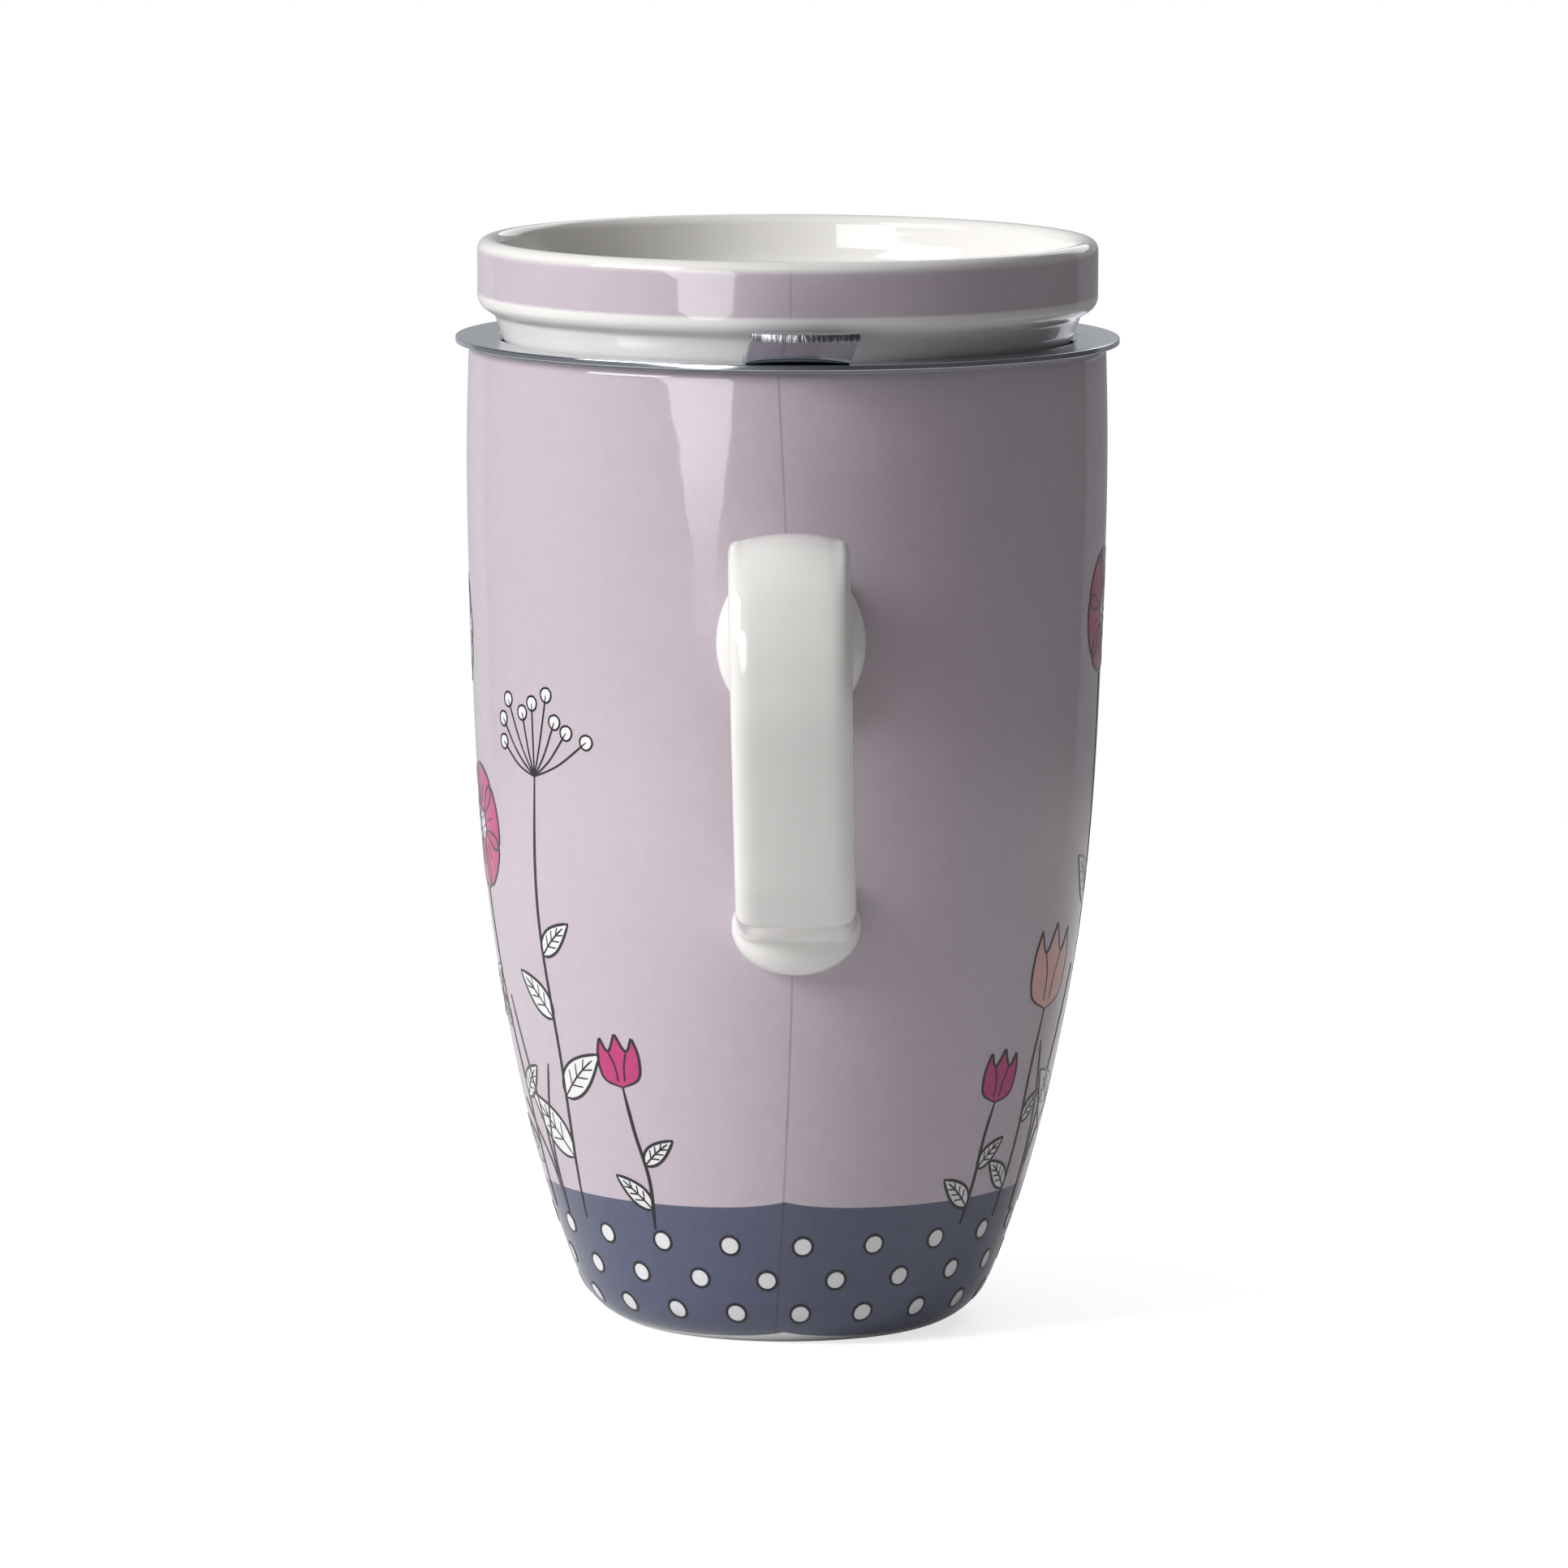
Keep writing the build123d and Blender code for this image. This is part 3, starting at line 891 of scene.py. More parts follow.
def upright(points, face):
    """Face turned so that it looks outwards once it is wrapped."""
    area = 0.0
    for start, end in zip(face, list(face[1:]) + [face[0]]):
        area += points[start][0] * points[end][1] - points[end][0] * points[start][1]
    return list(face) if area > 0 else list(reversed(face))


def resampled(points, step):
    """Polyline with its points spread evenly."""
    marks = [Vector(point) for point in points]
    travelled = [0.0]
    for start, end in zip(marks, marks[1:]):
        travelled.append(travelled[-1] + (end - start).length)
    count = max(2, math.ceil(travelled[-1] / step))
    spread = np.linspace(0, travelled[-1], count + 1)
    columns = [np.interp(spread, travelled, [mark[axis] for mark in marks]) for axis in (0, 1)]
    return [Vector((x, y)) for x, y in zip(*columns)]


def curve(points, steps=10):
    """Smooth line through a few given points."""
    marks = [Vector(point) for point in points]
    marks = [marks[0] * 2 - marks[1]] + marks + [marks[-1] * 2 - marks[-2]]
    track = []
    for a, b, c, d in zip(marks, marks[1:], marks[2:], marks[3:]):
        for step in range(steps):
            t = step / steps
            square = (a * 2 - b * 5 + c * 4 - d) * t**2
            cube = (b * 3 - a - c * 3 + d) * t**3
            track.append((b * 2 + (c - a) * t + square + cube) / 2)
    track.append(marks[-2])
    return track


def pointing(angle):
    """Flat unit vector at an angle from level."""
    return Vector((math.cos(angle), math.sin(angle)))


def across(along):
    """Flat vector turned a quarter to the left."""
    return Vector((-along[1], along[0]))


def turned_by(vector, angle):
    """Flat vector turned by an angle."""
    x, y = vector
    cosine, sine = math.cos(angle), math.sin(angle)
    return Vector((x * cosine - y * sine, x * sine + y * cosine))


def around(middle, radius, count, wobble=0.0):
    """Points round a circle that is slightly uneven."""
    points = []
    for index in range(count):
        angle = 2 * math.pi * index / count
        size = radius * (1 + wobble * math.sin(2 * angle + 1) + wobble / 2 * math.sin(3 * angle))
        points.append(Vector(middle) + pointing(angle) * size)
    return points


# ---- Plants, each drawn up from its foot -------------------------------------------
HAIR = 0.26  # width of a thin line
VEIN = 0.2  # width of the thinnest lines
STALK = 0.5  # width of a stem
WOBBLE = 0.03  # unevenness of a flower's eye, as a share of its radius
LEAF_STEPS = 12
LEAF_VEINS = 3
LEAF_DROOP = 0.16  # at the tip, as a share of the leaf's length
LEAF_SHAPE = (0.75, 0.9)  # powers that set where a leaf is widest and how full it is
LEAF_HEADINGS = (132, 48)  # in degrees from level, to the left and to the right
PETAL = ((0.2, 0.25), (0.62, 1.0), (0.9, 0.85))  # reach, and share of the half width
PETAL_TIP = (1.0, 0.0)
PETAL_CREASE = (0.38, 0.55, 0.7)  # reach
EYE = 0.27  # radius of a flower's eye, as a share of the flower's
EYE_RING = 0.34  # width of the ring round it
EYE_DOTS = 5
EYE_DOT = (0.16, 0.2)  # radius, and width of its ring
BELL = ((0, 0), (-0.42, 0.18), (-0.5, 0.62), (-0.4, 1.0), (-0.22, 0.72), (0, 1.08))
BELL_ARCS = ((0, 4, 6), (3, 6, 5), (5, 8, 5), (7, 11, 6))  # first mark, end and steps
BELL_FOLDS = ((-0.22, -0.1, -0.08), (0.22, 0.12, 0.08))  # aside, from top to foot
FOLD_HEIGHTS = (0.72, 0.42, 0.12)
FAN = 62  # degrees that an umbel opens to each side
SEED = 1.05  # radius of an umbel's seeds
SEED_WOBBLE = 0.04
GRASS = ((1.0, 1.0), (0.72, -0.9), (0.5, 1.6))  # height and bow of each blade


def leaf(page, base, heading, size, width):
    """White leaf with an outline, a midrib and side veins."""
    along = pointing(heading)
    droop = -LEAF_DROOP * size * (1 if along[0] > 0 else -1)
    widest, fullness = LEAF_SHAPE
    sides = {1: [], -1: []}
    rib = []
    for step in range(LEAF_STEPS + 1):
        t = step / LEAF_STEPS
        spine = Vector(base) + along * size * t + across(along) * droop * t * t
        rib.append(spine)
        half = width / 2 * math.sin(math.pi * t**widest) ** fullness
        for side in sides:
            sides[side].append(spine + across(along) * half * side)
    page.fill("paper", sides[1] + sides[-1][-2:0:-1])
    page.line(sides[1])
    page.line(sides[-1])
    page.line(rib[:-2], HAIR)
    for index in range(LEAF_VEINS):
        t = 3 + 2 * index
        for side in sides:
            tip = rib[t + 1].lerp(sides[side][t + 2], 0.72)
            page.line([rib[t], rib[t].lerp(tip, 0.5), tip], VEIN)


def bloom(page, middle, radius, petals, ink):
    """Open flower seen from the front: round petals about a dotted eye."""
    left = [(reach, -side) for reach, side in PETAL]
    marks = left + [PETAL_TIP] + list(reversed(PETAL))
    half = radius * math.sin(math.pi / petals) * 0.98
    for index in range(petals):
        along = pointing(2 * math.pi * (index + 0.25) / petals)
        edge = []
        for reach, side in marks:
            edge.append(middle + along * radius * reach + across(along) * half * side)
        edge = curve(edge, steps=5)
        page.fill(ink, edge)
        page.line(edge)
        page.line([middle + along * radius * reach for reach in PETAL_CREASE], VEIN)
    eye = radius * EYE
    page.fill("peach" if ink == "paper" else "paper", around(middle, eye, 20, WOBBLE))
    page.ring(middle, eye, EYE_RING, WOBBLE)
    for index in range(EYE_DOTS):
        page.ring(middle + pointing(2 * math.pi * index / EYE_DOTS) * eye * 0.5, *EYE_DOT)


def bell(page, base, size, ink, lean):
    """Cup-shaped flower seen from the side, on top of its stem."""

    def at(x, y):
        return Vector(base) + turned_by(Vector((x, y)) * size, lean)

    right = [(-x, y) for x, y in reversed(BELL[:-1])]
    marks = [at(x, y) for x, y in list(BELL) + right]
    cup = marks[:1]
    for first, end, steps in BELL_ARCS:
        cup += curve(marks[first:end], steps)[1:]
    page.fill(ink, cup[:-1])
    page.line(cup)
    for fold in BELL_FOLDS:
        page.line(curve([at(x, y) for x, y in zip(fold, FOLD_HEIGHTS)], steps=6), width=0.3)


def umbel(page, base, size, rays):
    """Fan of thin stalks that end in small open seeds."""
    for index in range(rays):
        heading = math.radians(90 + FAN * (2 * index / (rays - 1) - 1))
        reach = size * (0.86 + 0.14 * math.cos(2 * index))
        tip = Vector(base) + pointing(heading) * reach
        bow = Vector(base).lerp(tip, 0.5) + Vector((0, -0.06 * size))
        page.line(curve([base, bow, tip], steps=6), HAIR)
        page.fill("paper", around(tip, SEED, 14, SEED_WOBBLE))
        page.ring(tip, SEED, width=0.28, wobble=SEED_WOBBLE)


def stem(page, height, lean, leaves):
    """Bowed stem with leaves in turn to each side; gives its tip."""
    tip = Vector((lean, height))
    knee = (lean * 0.1 + height * 0.03, height * 0.35)
    track = curve([(0, 0), knee, (lean * 0.5, height * 0.7), tip])
    page.line(track, STALK)
    for index in range(leaves):
        share = 0.14 + 0.6 * index / leaves
        spot = track[int(share * (len(track) - 1))]
        size = max(7.0, height * 0.2) * (1 - 0.12 * index)
        leaf(page, spot, math.radians(LEAF_HEADINGS[index % 2]), size, width=size * 0.42)
    return tip


def tall_umbel(page, height, lean):
    """Seed fan on a leafy stem."""
    umbel(page, stem(page, height - 12, lean, leaves=4), size=12, rays=9)


def daisy(page, height, lean):
    """White flower with a peach eye."""
    tip = stem(page, height - 11, lean, leaves=3)
    bloom(page, tip + Vector((0, 6.5)), radius=7.5, petals=9, ink="paper")


def poppy(page, height, lean):
    """Magenta flower with a white eye."""
    tip = stem(page, height - 13, lean, leaves=3)
    bloom(page, tip + Vector((0, 8)), radius=8.6, petals=6, ink="magenta")


def tulip(page, height, lean):
    """Peach cup on a stem with two leaves."""
    tip = stem(page, height - 11, lean, leaves=2)
    bell(page, tip, size=11, ink="peach", lean=-lean / height)


def bud(page, height, lean):
    """Small magenta cup on a short stem."""
    tip = stem(page, height - 7, lean, leaves=2)
    bell(page, tip, size=7, ink="magenta", lean=-lean / height)


def grass(page, height, lean):
    """Tuft of three bowed blades."""
    for share, bow in GRASS:
        top = height * share
        blade = curve([(0, 0), (lean * bow * 0.2, top * 0.5), (lean * bow, top)], steps=8)
        page.line(blade, width=0.44)


# Each plant: how it is drawn, its azimuth in degrees, and in millimetres its height and lean.
MEADOW = (
    (bud, -33, 27, -2),
    (tall_umbel, -57, 74, 3),
    (grass, -66, 30, -5),
    (poppy, -76, 58, -3),
    (daisy, -97, 84, 4),
    (tulip, -114, 46, -3),
    (grass, -124, 34, 4),
    (tall_umbel, -138, 92, -4),
    (daisy, -158, 50, 3),
    (poppy, -176, 78, -2),
    (bud, 168, 32, 3),
    (tulip, 150, 62, 4),
    (grass, 139, 28, -4),
    (daisy, 124, 72, -4),
    (tall_umbel, 104, 54, 3),
    (poppy, 86, 88, -3),
    (grass, 73, 34, 5),
    (tulip, 62, 40, 2),
    (bud, 48, 24, 2),
)
GROUND = 16.5  # height of the plants' feet, in millimetres
DOT_ROWS = (4.9, 9.9, 14.9)  # heights of the rows of dots, in millimetres


# ---- Mug, handle and their prints --------------------------------------------------
FOOT_MARGIN = 0.1 * MM  # beyond the foot ring, to which the print doesn't reach
UNDERSIDE = 1.7 * MM  # height up to which the mug is white inside its foot ring
BARE_HEIGHT = 0.25 * MM  # height up to which the foot ring is unglazed
ROOT_DEPTH = 2 * MM  # of the handle's roots in the wall
TOUCH = 0.03 * MM  # a point this near the wall lies on it
CLAY_GRAIN = 0.3 * MM  # of the handle's one skin
GLAZE_SOFTNESS = 14  # passes that soften the skin
STRAP_DEPTH = 15 * MM  # from the handle's outermost point, which takes in the grip only
STRAP_MARKS = (0.2, 0.6)  # heights at which the grip is measured, as shares of its own
STRAP_SLICE = 1 * MM  # above and below a mark
CROWN_START = 45 * MM  # from the mug's axis
CROWN_RUN = 7 * MM  # over which the crown grows
CROWN_ARCH = 1.8  # how much more a face that looks up is crowned
MAGENTA_RISE = 1.2  # thickness of the magenta ink, as a share of the white's
PEACH_RISE = 1.3
DOT_INSET = 0.1  # of a dot's ring from the dot's edge, in millimetres
DOT_RING = 0.36  # width of a dot's ring, in millimetres


class TEAMUG_OT_body(bpy.types.Operator):
    """Turn the mug's body and give it its print, white glaze and bare foot."""

    bl_idname = "teamug.body"
    bl_label = "Mug Body"

    def execute(self, context):
        fine, closed = mug_outline()
        top = max(point[1] for point in fine)
        foot = max(point[0] for point in fine if abs(point[1]) < SAME)
        crest = max(range(len(fine)), key=lambda index: fine[index][1])
        side, white, bare = range(3)

        def material_of(radius, height, index):
            if index >= crest:
                return white
            if radius < foot + FOOT_MARGIN and height < UNDERSIDE:
                return bare if height < BARE_HEIGHT else white
            return side

        inks = [mug_print(top), white_glaze(), biscuit()]
        piece = turned_piece("mug_body_glazed", fine, closed, "mug", inks, material_of)
        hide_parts("mug_body")
        return {"FINISHED"}


class TEAMUG_OT_handle(bpy.types.Operator):
    """Soften the handle's edges as fired glaze does, and set its roots in the wall."""

    bl_idname = "teamug.handle"
    bl_label = "Handle"

    def execute(self, context):
        bm = bmesh.new()
        bm.from_mesh(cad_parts["handle"].data)
        bmesh.ops.remove_doubles(bm, verts=bm.verts, dist=MERGE)
        sink_roots(bm, Wall())
        rough = bpy.data.meshes.new("handle_rough")
        bm.to_mesh(rough)
        bm.free()
        skin = softened(rough)
        crown_strap(skin, context.scene.teamug_china.crown)
        skin.materials.clear()
        skin.materials.append(bpy.data.materials["white_glaze"])
        skin.shade_smooth()
        piece = shown("handle_glazed", skin)
        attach(piece, "mug")
        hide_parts("handle")
        return {"FINISHED"}


def lies_on(wall, point):
    """Whether a point lies on the mug's outer side."""
    return abs(math.hypot(point[0], point[1]) - wall.radius(point[2])) < TOUCH


def sink_roots(bm, wall):
    """Push the faces that lie against the wall into it, so that the roots grow out of it."""
    faces = [face for face in bm.faces if all(lies_on(wall, vertex.co) for vertex in face.verts)]
    pushed = bmesh.ops.extrude_face_region(bm, geom=faces)["geom"]
    bmesh.ops.delete(bm, geom=faces, context="FACES_ONLY")
    for vertex in pushed:
        if isinstance(vertex, bmesh.types.BMVert):
            reach = math.hypot(vertex.co[0], vertex.co[1])
            vertex.co[0] *= 1 - ROOT_DEPTH / reach
            vertex.co[1] *= 1 - ROOT_DEPTH / reach


def softened(rough):
    """Mesh as one skin whose edges are soft."""
    clay = shown("handle_rough", rough)
    remesh = clay.modifiers.new("clay", "REMESH")
    remesh.mode = "VOXEL"
    remesh.voxel_size = CLAY_GRAIN
    soften = clay.modifiers.new("glaze", "SMOOTH")
    soften.factor = 0.5
    soften.iterations = GLAZE_SOFTNESS
    evaluated = clay.evaluated_get(bpy.context.evaluated_depsgraph_get())
    skin = bpy.data.meshes.new_from_object(evaluated)
    bpy.data.objects.remove(clay)
    return skin


def grip_line(grip):
    """Where the middle of the grip's width lies: its x at a height, its lean and half width."""
    low, high = grip[:, 2].min(), grip[:, 2].max()
    marks, middles, halves = [], [], []
    for share in STRAP_MARKS:
        level = low + (high - low) * share
        slice_x = grip[np.abs(grip[:, 2] - level) < STRAP_SLICE][:, 0]
        marks.append(level)
        middles.append((slice_x.max() + slice_x.min()) / 2)
        halves.append((slice_x.max() - slice_x.min()) / 2)
    lean = (middles[1] - middles[0]) / (marks[1] - marks[0])
    return middles[0], marks[0], lean, halves[0]


def crown_strap(mesh, crown):
    """Make the strap's flat faces gently convex across their width."""
    count = len(mesh.vertices)
    points, normals = np.empty(count * 3), np.empty(count * 3)
    mesh.vertices.foreach_get("co", points)
    mesh.vertex_normals.foreach_get("vector", normals)
    points, normals = points.reshape(-1, 3), normals.reshape(-1, 3)
    reach = -points[:, 1]
    middle, level, lean, half = grip_line(points[reach > reach.max() - STRAP_DEPTH])
    aside = (points[:, 0] - middle - lean * (points[:, 2] - level)) / half
    clear = np.clip((reach - CROWN_START) / CROWN_RUN, 0, 1)
    flat = 1 - normals[:, 0] ** 2
    arched = 1 + CROWN_ARCH * np.clip(normals[:, 2], 0, 1) ** 2
    drop = crown * arched * np.clip(aside, -1, 1) ** 2 * clear * flat
    points[:, 1] -= normals[:, 1] * drop
    points[:, 2] -= normals[:, 2] * drop
    mesh.vertices.foreach_set("co", points.ravel())
    mesh.update()


class TEAMUG_OT_dots(bpy.types.Operator):
    """Print rows of dots round the slate band."""

    bl_idname = "teamug.dots"
    bl_label = "Dots"

    def execute(self, context):
        inks = context.scene.teamug_print
        page = Drawing(Wall())
        radius = inks.dot_width / MM / 2
        for row, height in enumerate(DOT_ROWS):
            for index in range(inks.dots_round):
                azimuth = 2 * math.pi * (index + 0.5 * (row % 2) + 0.25) / inks.dots_round
                page.stand_at(azimuth, height * MM)
                page.fill("paper", around((0, 0), radius, RING_SIDES))
                page.ring(Vector((0, 0)), radius - DOT_INSET, DOT_RING)
        page.wrap("dot_fill_print", "paper", inks.fill_lift, flat_ink("white_ink", inks.paper))
        page.wrap("dot_line_print", "line", inks.line_lift, flat_ink("line_ink", inks.line))
        return {"FINISHED"}


class TEAMUG_OT_meadow(bpy.types.Operator):
    """Print a meadow of line-drawn plants round the side."""

    bl_idname = "teamug.meadow"
    bl_label = "Meadow"

    def execute(self, context):
        inks = context.scene.teamug_print
        page = Drawing(Wall())
        for plant, azimuth, height, lean in MEADOW:
            page.stand_at(math.radians(azimuth), GROUND * MM)
            plant(page, height, lean)
        known = bpy.data.materials
        magenta, peach = flat_ink("magenta_ink", inks.magenta), flat_ink("peach_ink", inks.peach)
        page.wrap("meadow_white_print", "paper", inks.fill_lift, known["white_ink"])
        page.wrap("meadow_magenta_print", "magenta", inks.fill_lift * MAGENTA_RISE, magenta)
        page.wrap("meadow_peach_print", "peach", inks.fill_lift * PEACH_RISE, peach)
        page.wrap("meadow_line_print", "line", inks.line_lift, known["line_ink"])
        return {"FINISHED"}


# ---- Lid ---------------------------------------------------------------------------
LID_EDGE = 0.3 * MM  # radius of the lid's crisp edges under the glaze
LID_STEP = 1.25 * MM
BAND_DEPTH = 0.02 * MM  # points this near the lid's widest radius are on its upright band
BAND_LOW = 0.3 * MM  # of the print's lower edge over the foot of the band
BAND_HIGH = 1.35 * MM  # of the print's upper edge under the crest
PRINT_DEPTH = 1.2 * MM  # faces this near the widest radius carry the print
PRINT_DROP = 1 * MM  # by which they reach below its lower edge, for the blur


class TEAMUG_OT_lid(bpy.types.Operator):
    """Turn the lid and give it its lilac band."""

    bl_idname = "teamug.lid"
    bl_label = "Lid"

    def execute(self, context):
        path, closed = outline("lid")
        widest = max(point[0] for point in path)
        fine = filled_in(with_round_edges(path, closed, LID_EDGE), closed, LID_STEP)
        band = [point[1] for point in path if point[0] > widest - BAND_DEPTH]
        low, high = min(band) + BAND_LOW, max(point[1] for point in path) - BAND_HIGH
        white, side = range(2)

        def material_of(radius, height, index):
            return side if radius > widest - PRINT_DEPTH and height > low - PRINT_DROP else white

        inks = [bpy.data.materials["white_glaze"], lid_print(low, high)]
        piece = turned_piece("lid_glazed", fine, closed, "lid", inks, material_of)
        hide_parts("lid")
        return {"FINISHED"}


# ---- Infuser -----------------------------------------------------------------------
RIM_STEP = 1.5 * MM
TAB_ROUNDING = 0.1 * MM
TAB_ROUGHNESS = 0.05
# painted shade: the tab's steel is darkened to stand in for the shaded wall that it mirrors
TAB_PAINTED_SHADE = 0.72
SHEAR_FACING = -0.75  # a face of the tab that looks at least this far forwards is sheared
SHEAR_REACH = 2.5 * MM  # from the foremost point of the tab's lip
BASKET_ROUGHNESS = 0.27
BEAD_COLUMNS = (-1.0, -0.7, 0.0, 0.7, 1.0)  # across the bead, as shares of its half width
BEAD_HALF_WIDTH = 0.7 * MM
BEAD_SWELL = 0.16 * MM
BEAD_PITCH = 0.9 * MM  # from ripple to ripple
BEAD_ROWS = 6  # to one ripple
BEAD_ENDS = 3  # rows over which the bead rises at its ends
BEAD_DEPTH = 0.1 * MM  # of the bead in the sleeve
BEAD_GAP = 1 * MM  # under the neck
SPOTS = 12
SPOT_RADIUS = 1.15 * MM
SPOT_SIDES = 24
SPOT_DROP = 2.5 * MM  # of the lower welds under the pan's edge
SPOT_RINGS = ((1.0, -0.05), (0.92, 0.05), (0.78, 0.09), (0.6, 0.05), (0.3, 0.03))  # radius, rise


class TEAMUG_OT_rim(bpy.types.Operator):
    """Turn the infuser's polished rim with its tumbled edges."""

    bl_idname = "teamug.rim"
    bl_label = "Infuser Rim"

    def execute(self, context):
        settings = context.scene.teamug_steel
        path, closed = outline("infuser_rim")
        fine = filled_in(with_round_edges(path, closed, settings.edge_rounding), closed, RIM_STEP)
        finish = steel("polished_steel", settings.rim_roughness, lined_round=True)
        piece = turned_piece(
            "infuser_rim_polished", fine, closed, "infuser", [finish], lambda *_: 0
        )
        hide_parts("infuser_rim")
        return {"FINISHED"}


class TEAMUG_OT_lift_tab(bpy.types.Operator):
    """Round the lift tab's edges, polish it, darken its steel with painted shade and leave its
    sheared end streaked.
    """

    bl_idname = "teamug.lift_tab"
    bl_label = "Lift Tab"

    def execute(self, context):
        bm = bmesh.new()
        bm.from_mesh(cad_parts["lift_tab"].data)
        bmesh.ops.remove_doubles(bm, verts=bm.verts, dist=MERGE)
        folds = [edge for edge in bm.edges if len(edge.link_faces) == 2]
        sharp = [edge for edge in folds if edge.calc_face_angle() > CRISP]
        bmesh.ops.bevel(
            bm, geom=sharp, offset=TAB_ROUNDING, segments=3, affect="EDGES", profile=0.5
        )
        lip = min(vertex.co[1] for vertex in bm.verts)
        for face in bm.faces:
            face.smooth = True
            at_lip = face.calc_center_median()[1] < lip + SHEAR_REACH
            face.material_index = 1 if at_lip and face.normal[1] < SHEAR_FACING else 0
        sheet = bpy.data.meshes.new("lift_tab_polished")
        bm.to_mesh(sheet)
        bm.free()
        sheet.set_sharp_from_angle(angle=CRISP)
        # the tab's mirror steel is darkened by painted shade
        sheet.materials.append(steel("mirror_steel_painted_shade", TAB_ROUGHNESS, TAB_PAINTED_SHADE))
        sheet.materials.append(sheared_steel())
        piece = shown("lift_tab_polished", sheet)
        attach(piece, "infuser")
        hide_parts("lift_tab")
        return {"FINISHED"}


class TEAMUG_OT_basket(bpy.types.Operator):
    """Give the perforated basket its satin finish."""

    bl_idname = "teamug.basket"
    bl_label = "Basket"

    def execute(self, context):
        finish = steel("satin_steel", BASKET_ROUGHNESS, lined_round=True)
        for name in ("infuser_sleeve", "infuser_base"):
            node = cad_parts[name]
            node.data.materials.clear()
            node.data.materials.append(finish)
        return {"FINISHED"}


class TEAMUG_OT_welds(bpy.types.Operator):
    """Add the seam weld down the sleeve and the spot welds that hold the infuser together."""

    bl_idname = "teamug.welds"
    bl_label = "Welds"

    def execute(self, context):
        sleeve_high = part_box("infuser_sleeve")[1]
        pan_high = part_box("infuser_base")[1]
        neck_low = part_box("infuser_rim")[0]
        finish = weld_steel()
        vertices, faces = seam_bead(sleeve_high[0], pan_high[2], neck_low[2] - BEAD_GAP)
        bead = new_piece("sleeve_seam_weld", vertices, faces, "infuser", [finish])
        vertices, faces = [], []
        neck_lap = Vector((0, 0, (neck_low[2] + sleeve_high[2]) / 2))
        pan_lap = Vector((0, 0, pan_high[2] - SPOT_DROP))
        for index in range(SPOTS):
            out = at_azimuth(2 * math.pi * (index + 0.5) / SPOTS, 1, 0)
            add_spot(vertices, faces, out * sleeve_high[0] + neck_lap, out)
            add_spot(vertices, faces, out * pan_high[0] + pan_lap, out)
        spots = new_piece("basket_spot_welds", vertices, faces, "infuser", [finish])
        return {"FINISHED"}


def seam_bead(radius, low, high):
    """Rippled bead that runs up the sleeve opposite the handle."""
    vertices, faces = [], []
    depth = math.sqrt(radius**2 - BEAD_HALF_WIDTH**2)
    rows = math.ceil((high - low) / BEAD_PITCH * BEAD_ROWS)
    for row in range(rows + 1):
        height = low + (high - low) * row / rows
        ripple = 0.75 + 0.25 * math.cos(2 * math.pi * (height - low) / BEAD_PITCH)
        end = min(1.0, row / BEAD_ENDS, (rows - row) / BEAD_ENDS)
        half_width = BEAD_HALF_WIDTH * (0.85 + 0.15 * ripple)
        for column in BEAD_COLUMNS:
            out = BEAD_SWELL * (1 - column**2) * ripple * end
            side = Vector((column * half_width, depth, height))
            vertices.append(side + Vector((0, out, 0)))
    wide = len(BEAD_COLUMNS)
    for row in range(rows):
        for column in range(wide - 1):
            first = row * wide + column
            faces.append((first, first + wide, first + wide + 1, first + 1))
    return closed_behind(vertices, faces, Vector((0, -BEAD_DEPTH, 0)))


def add_spot(vertices, faces, middle, out):
    """Shallow ringed mark of a spot weld."""
    aside = out.orthogonal().normalized()
    upward = out.cross(aside)
    base = len(vertices)
    for share, rise in SPOT_RINGS:
        for index in range(SPOT_SIDES):
            turn = 2 * math.pi * index / SPOT_SIDES
            flat = aside * math.cos(turn) + upward * math.sin(turn)
            vertices.append(middle + flat * SPOT_RADIUS * share + out * rise * MM)
    for ring in range(len(SPOT_RINGS) - 1):
        for index in range(SPOT_SIDES):
            here = base + ring * SPOT_SIDES + index
            ahead = base + ring * SPOT_SIDES + (index + 1) % SPOT_SIDES
            faces.append((here, ahead, ahead + SPOT_SIDES, here + SPOT_SIDES))
    inner = base + (len(SPOT_RINGS) - 1) * SPOT_SIDES
    faces.append([inner + index for index in range(SPOT_SIDES)])
    faces.append([base + index for index in reversed(range(SPOT_SIDES))])


# ---- Stage -------------------------------------------------------------------------
LAMP_SIZE = (0.7, 0.6)
LAMP_DISTANCE = 1.25
LAMP_AIM = (0, 0, 0.08)
KEY_FROM = (-61, 27)  # azimuth and elevation, in degrees
FILL_FROM = (160, 28)
FILL_HIGHLIGHT = 0.25  # strength of the fill lamp's reflection
TABLE_REACH = 0.62
TABLE_SIDES = 96
TABLE_FADE = (0.3, 0.58)  # radii between which the table fades out
TABLE_TINT = (0.86, 0.86, 0.86, 1.0)
TABLE_SEEN = 0.72  # glow of the table as the camera sees it
TABLE_MIRRORED = 0.1  # and as it is mirrored
STRIP_DISTANCE = 0.6
STRIP_GLOW = (1.0, 5.6)  # at the table, and above its dim foot
STRIP_DIM = 0.09  # height of that foot
STRIP_ROWS = (  # height, and the azimuths of the two sides in degrees
    (0.34, -46, -21),
    (0.21, -46, -20),
    (0.15, -46, -18),
    (0.1, -40, -19),
    (0.07, -36, -21),
    (0.0, -31, -26),
)
SWEEP_MIDDLE = 177.75  # azimuth of the pale sweep behind the mug, in degrees
SWEEP_EDGE = (0.742, 0.762)  # cosines of the angles from its middle to its soft edge
SWEEP_LIGHT = 0.45
STUDIO_LIGHT = 0.1  # of the dark studio in front, as it is mirrored
NEAR_TABLE = (-0.6, 0.4, 0.34, 0.1)  # from left to right: how far aside, and its light there
FAR_TABLE = (-0.3, 0.3, 0.6, 0.26)
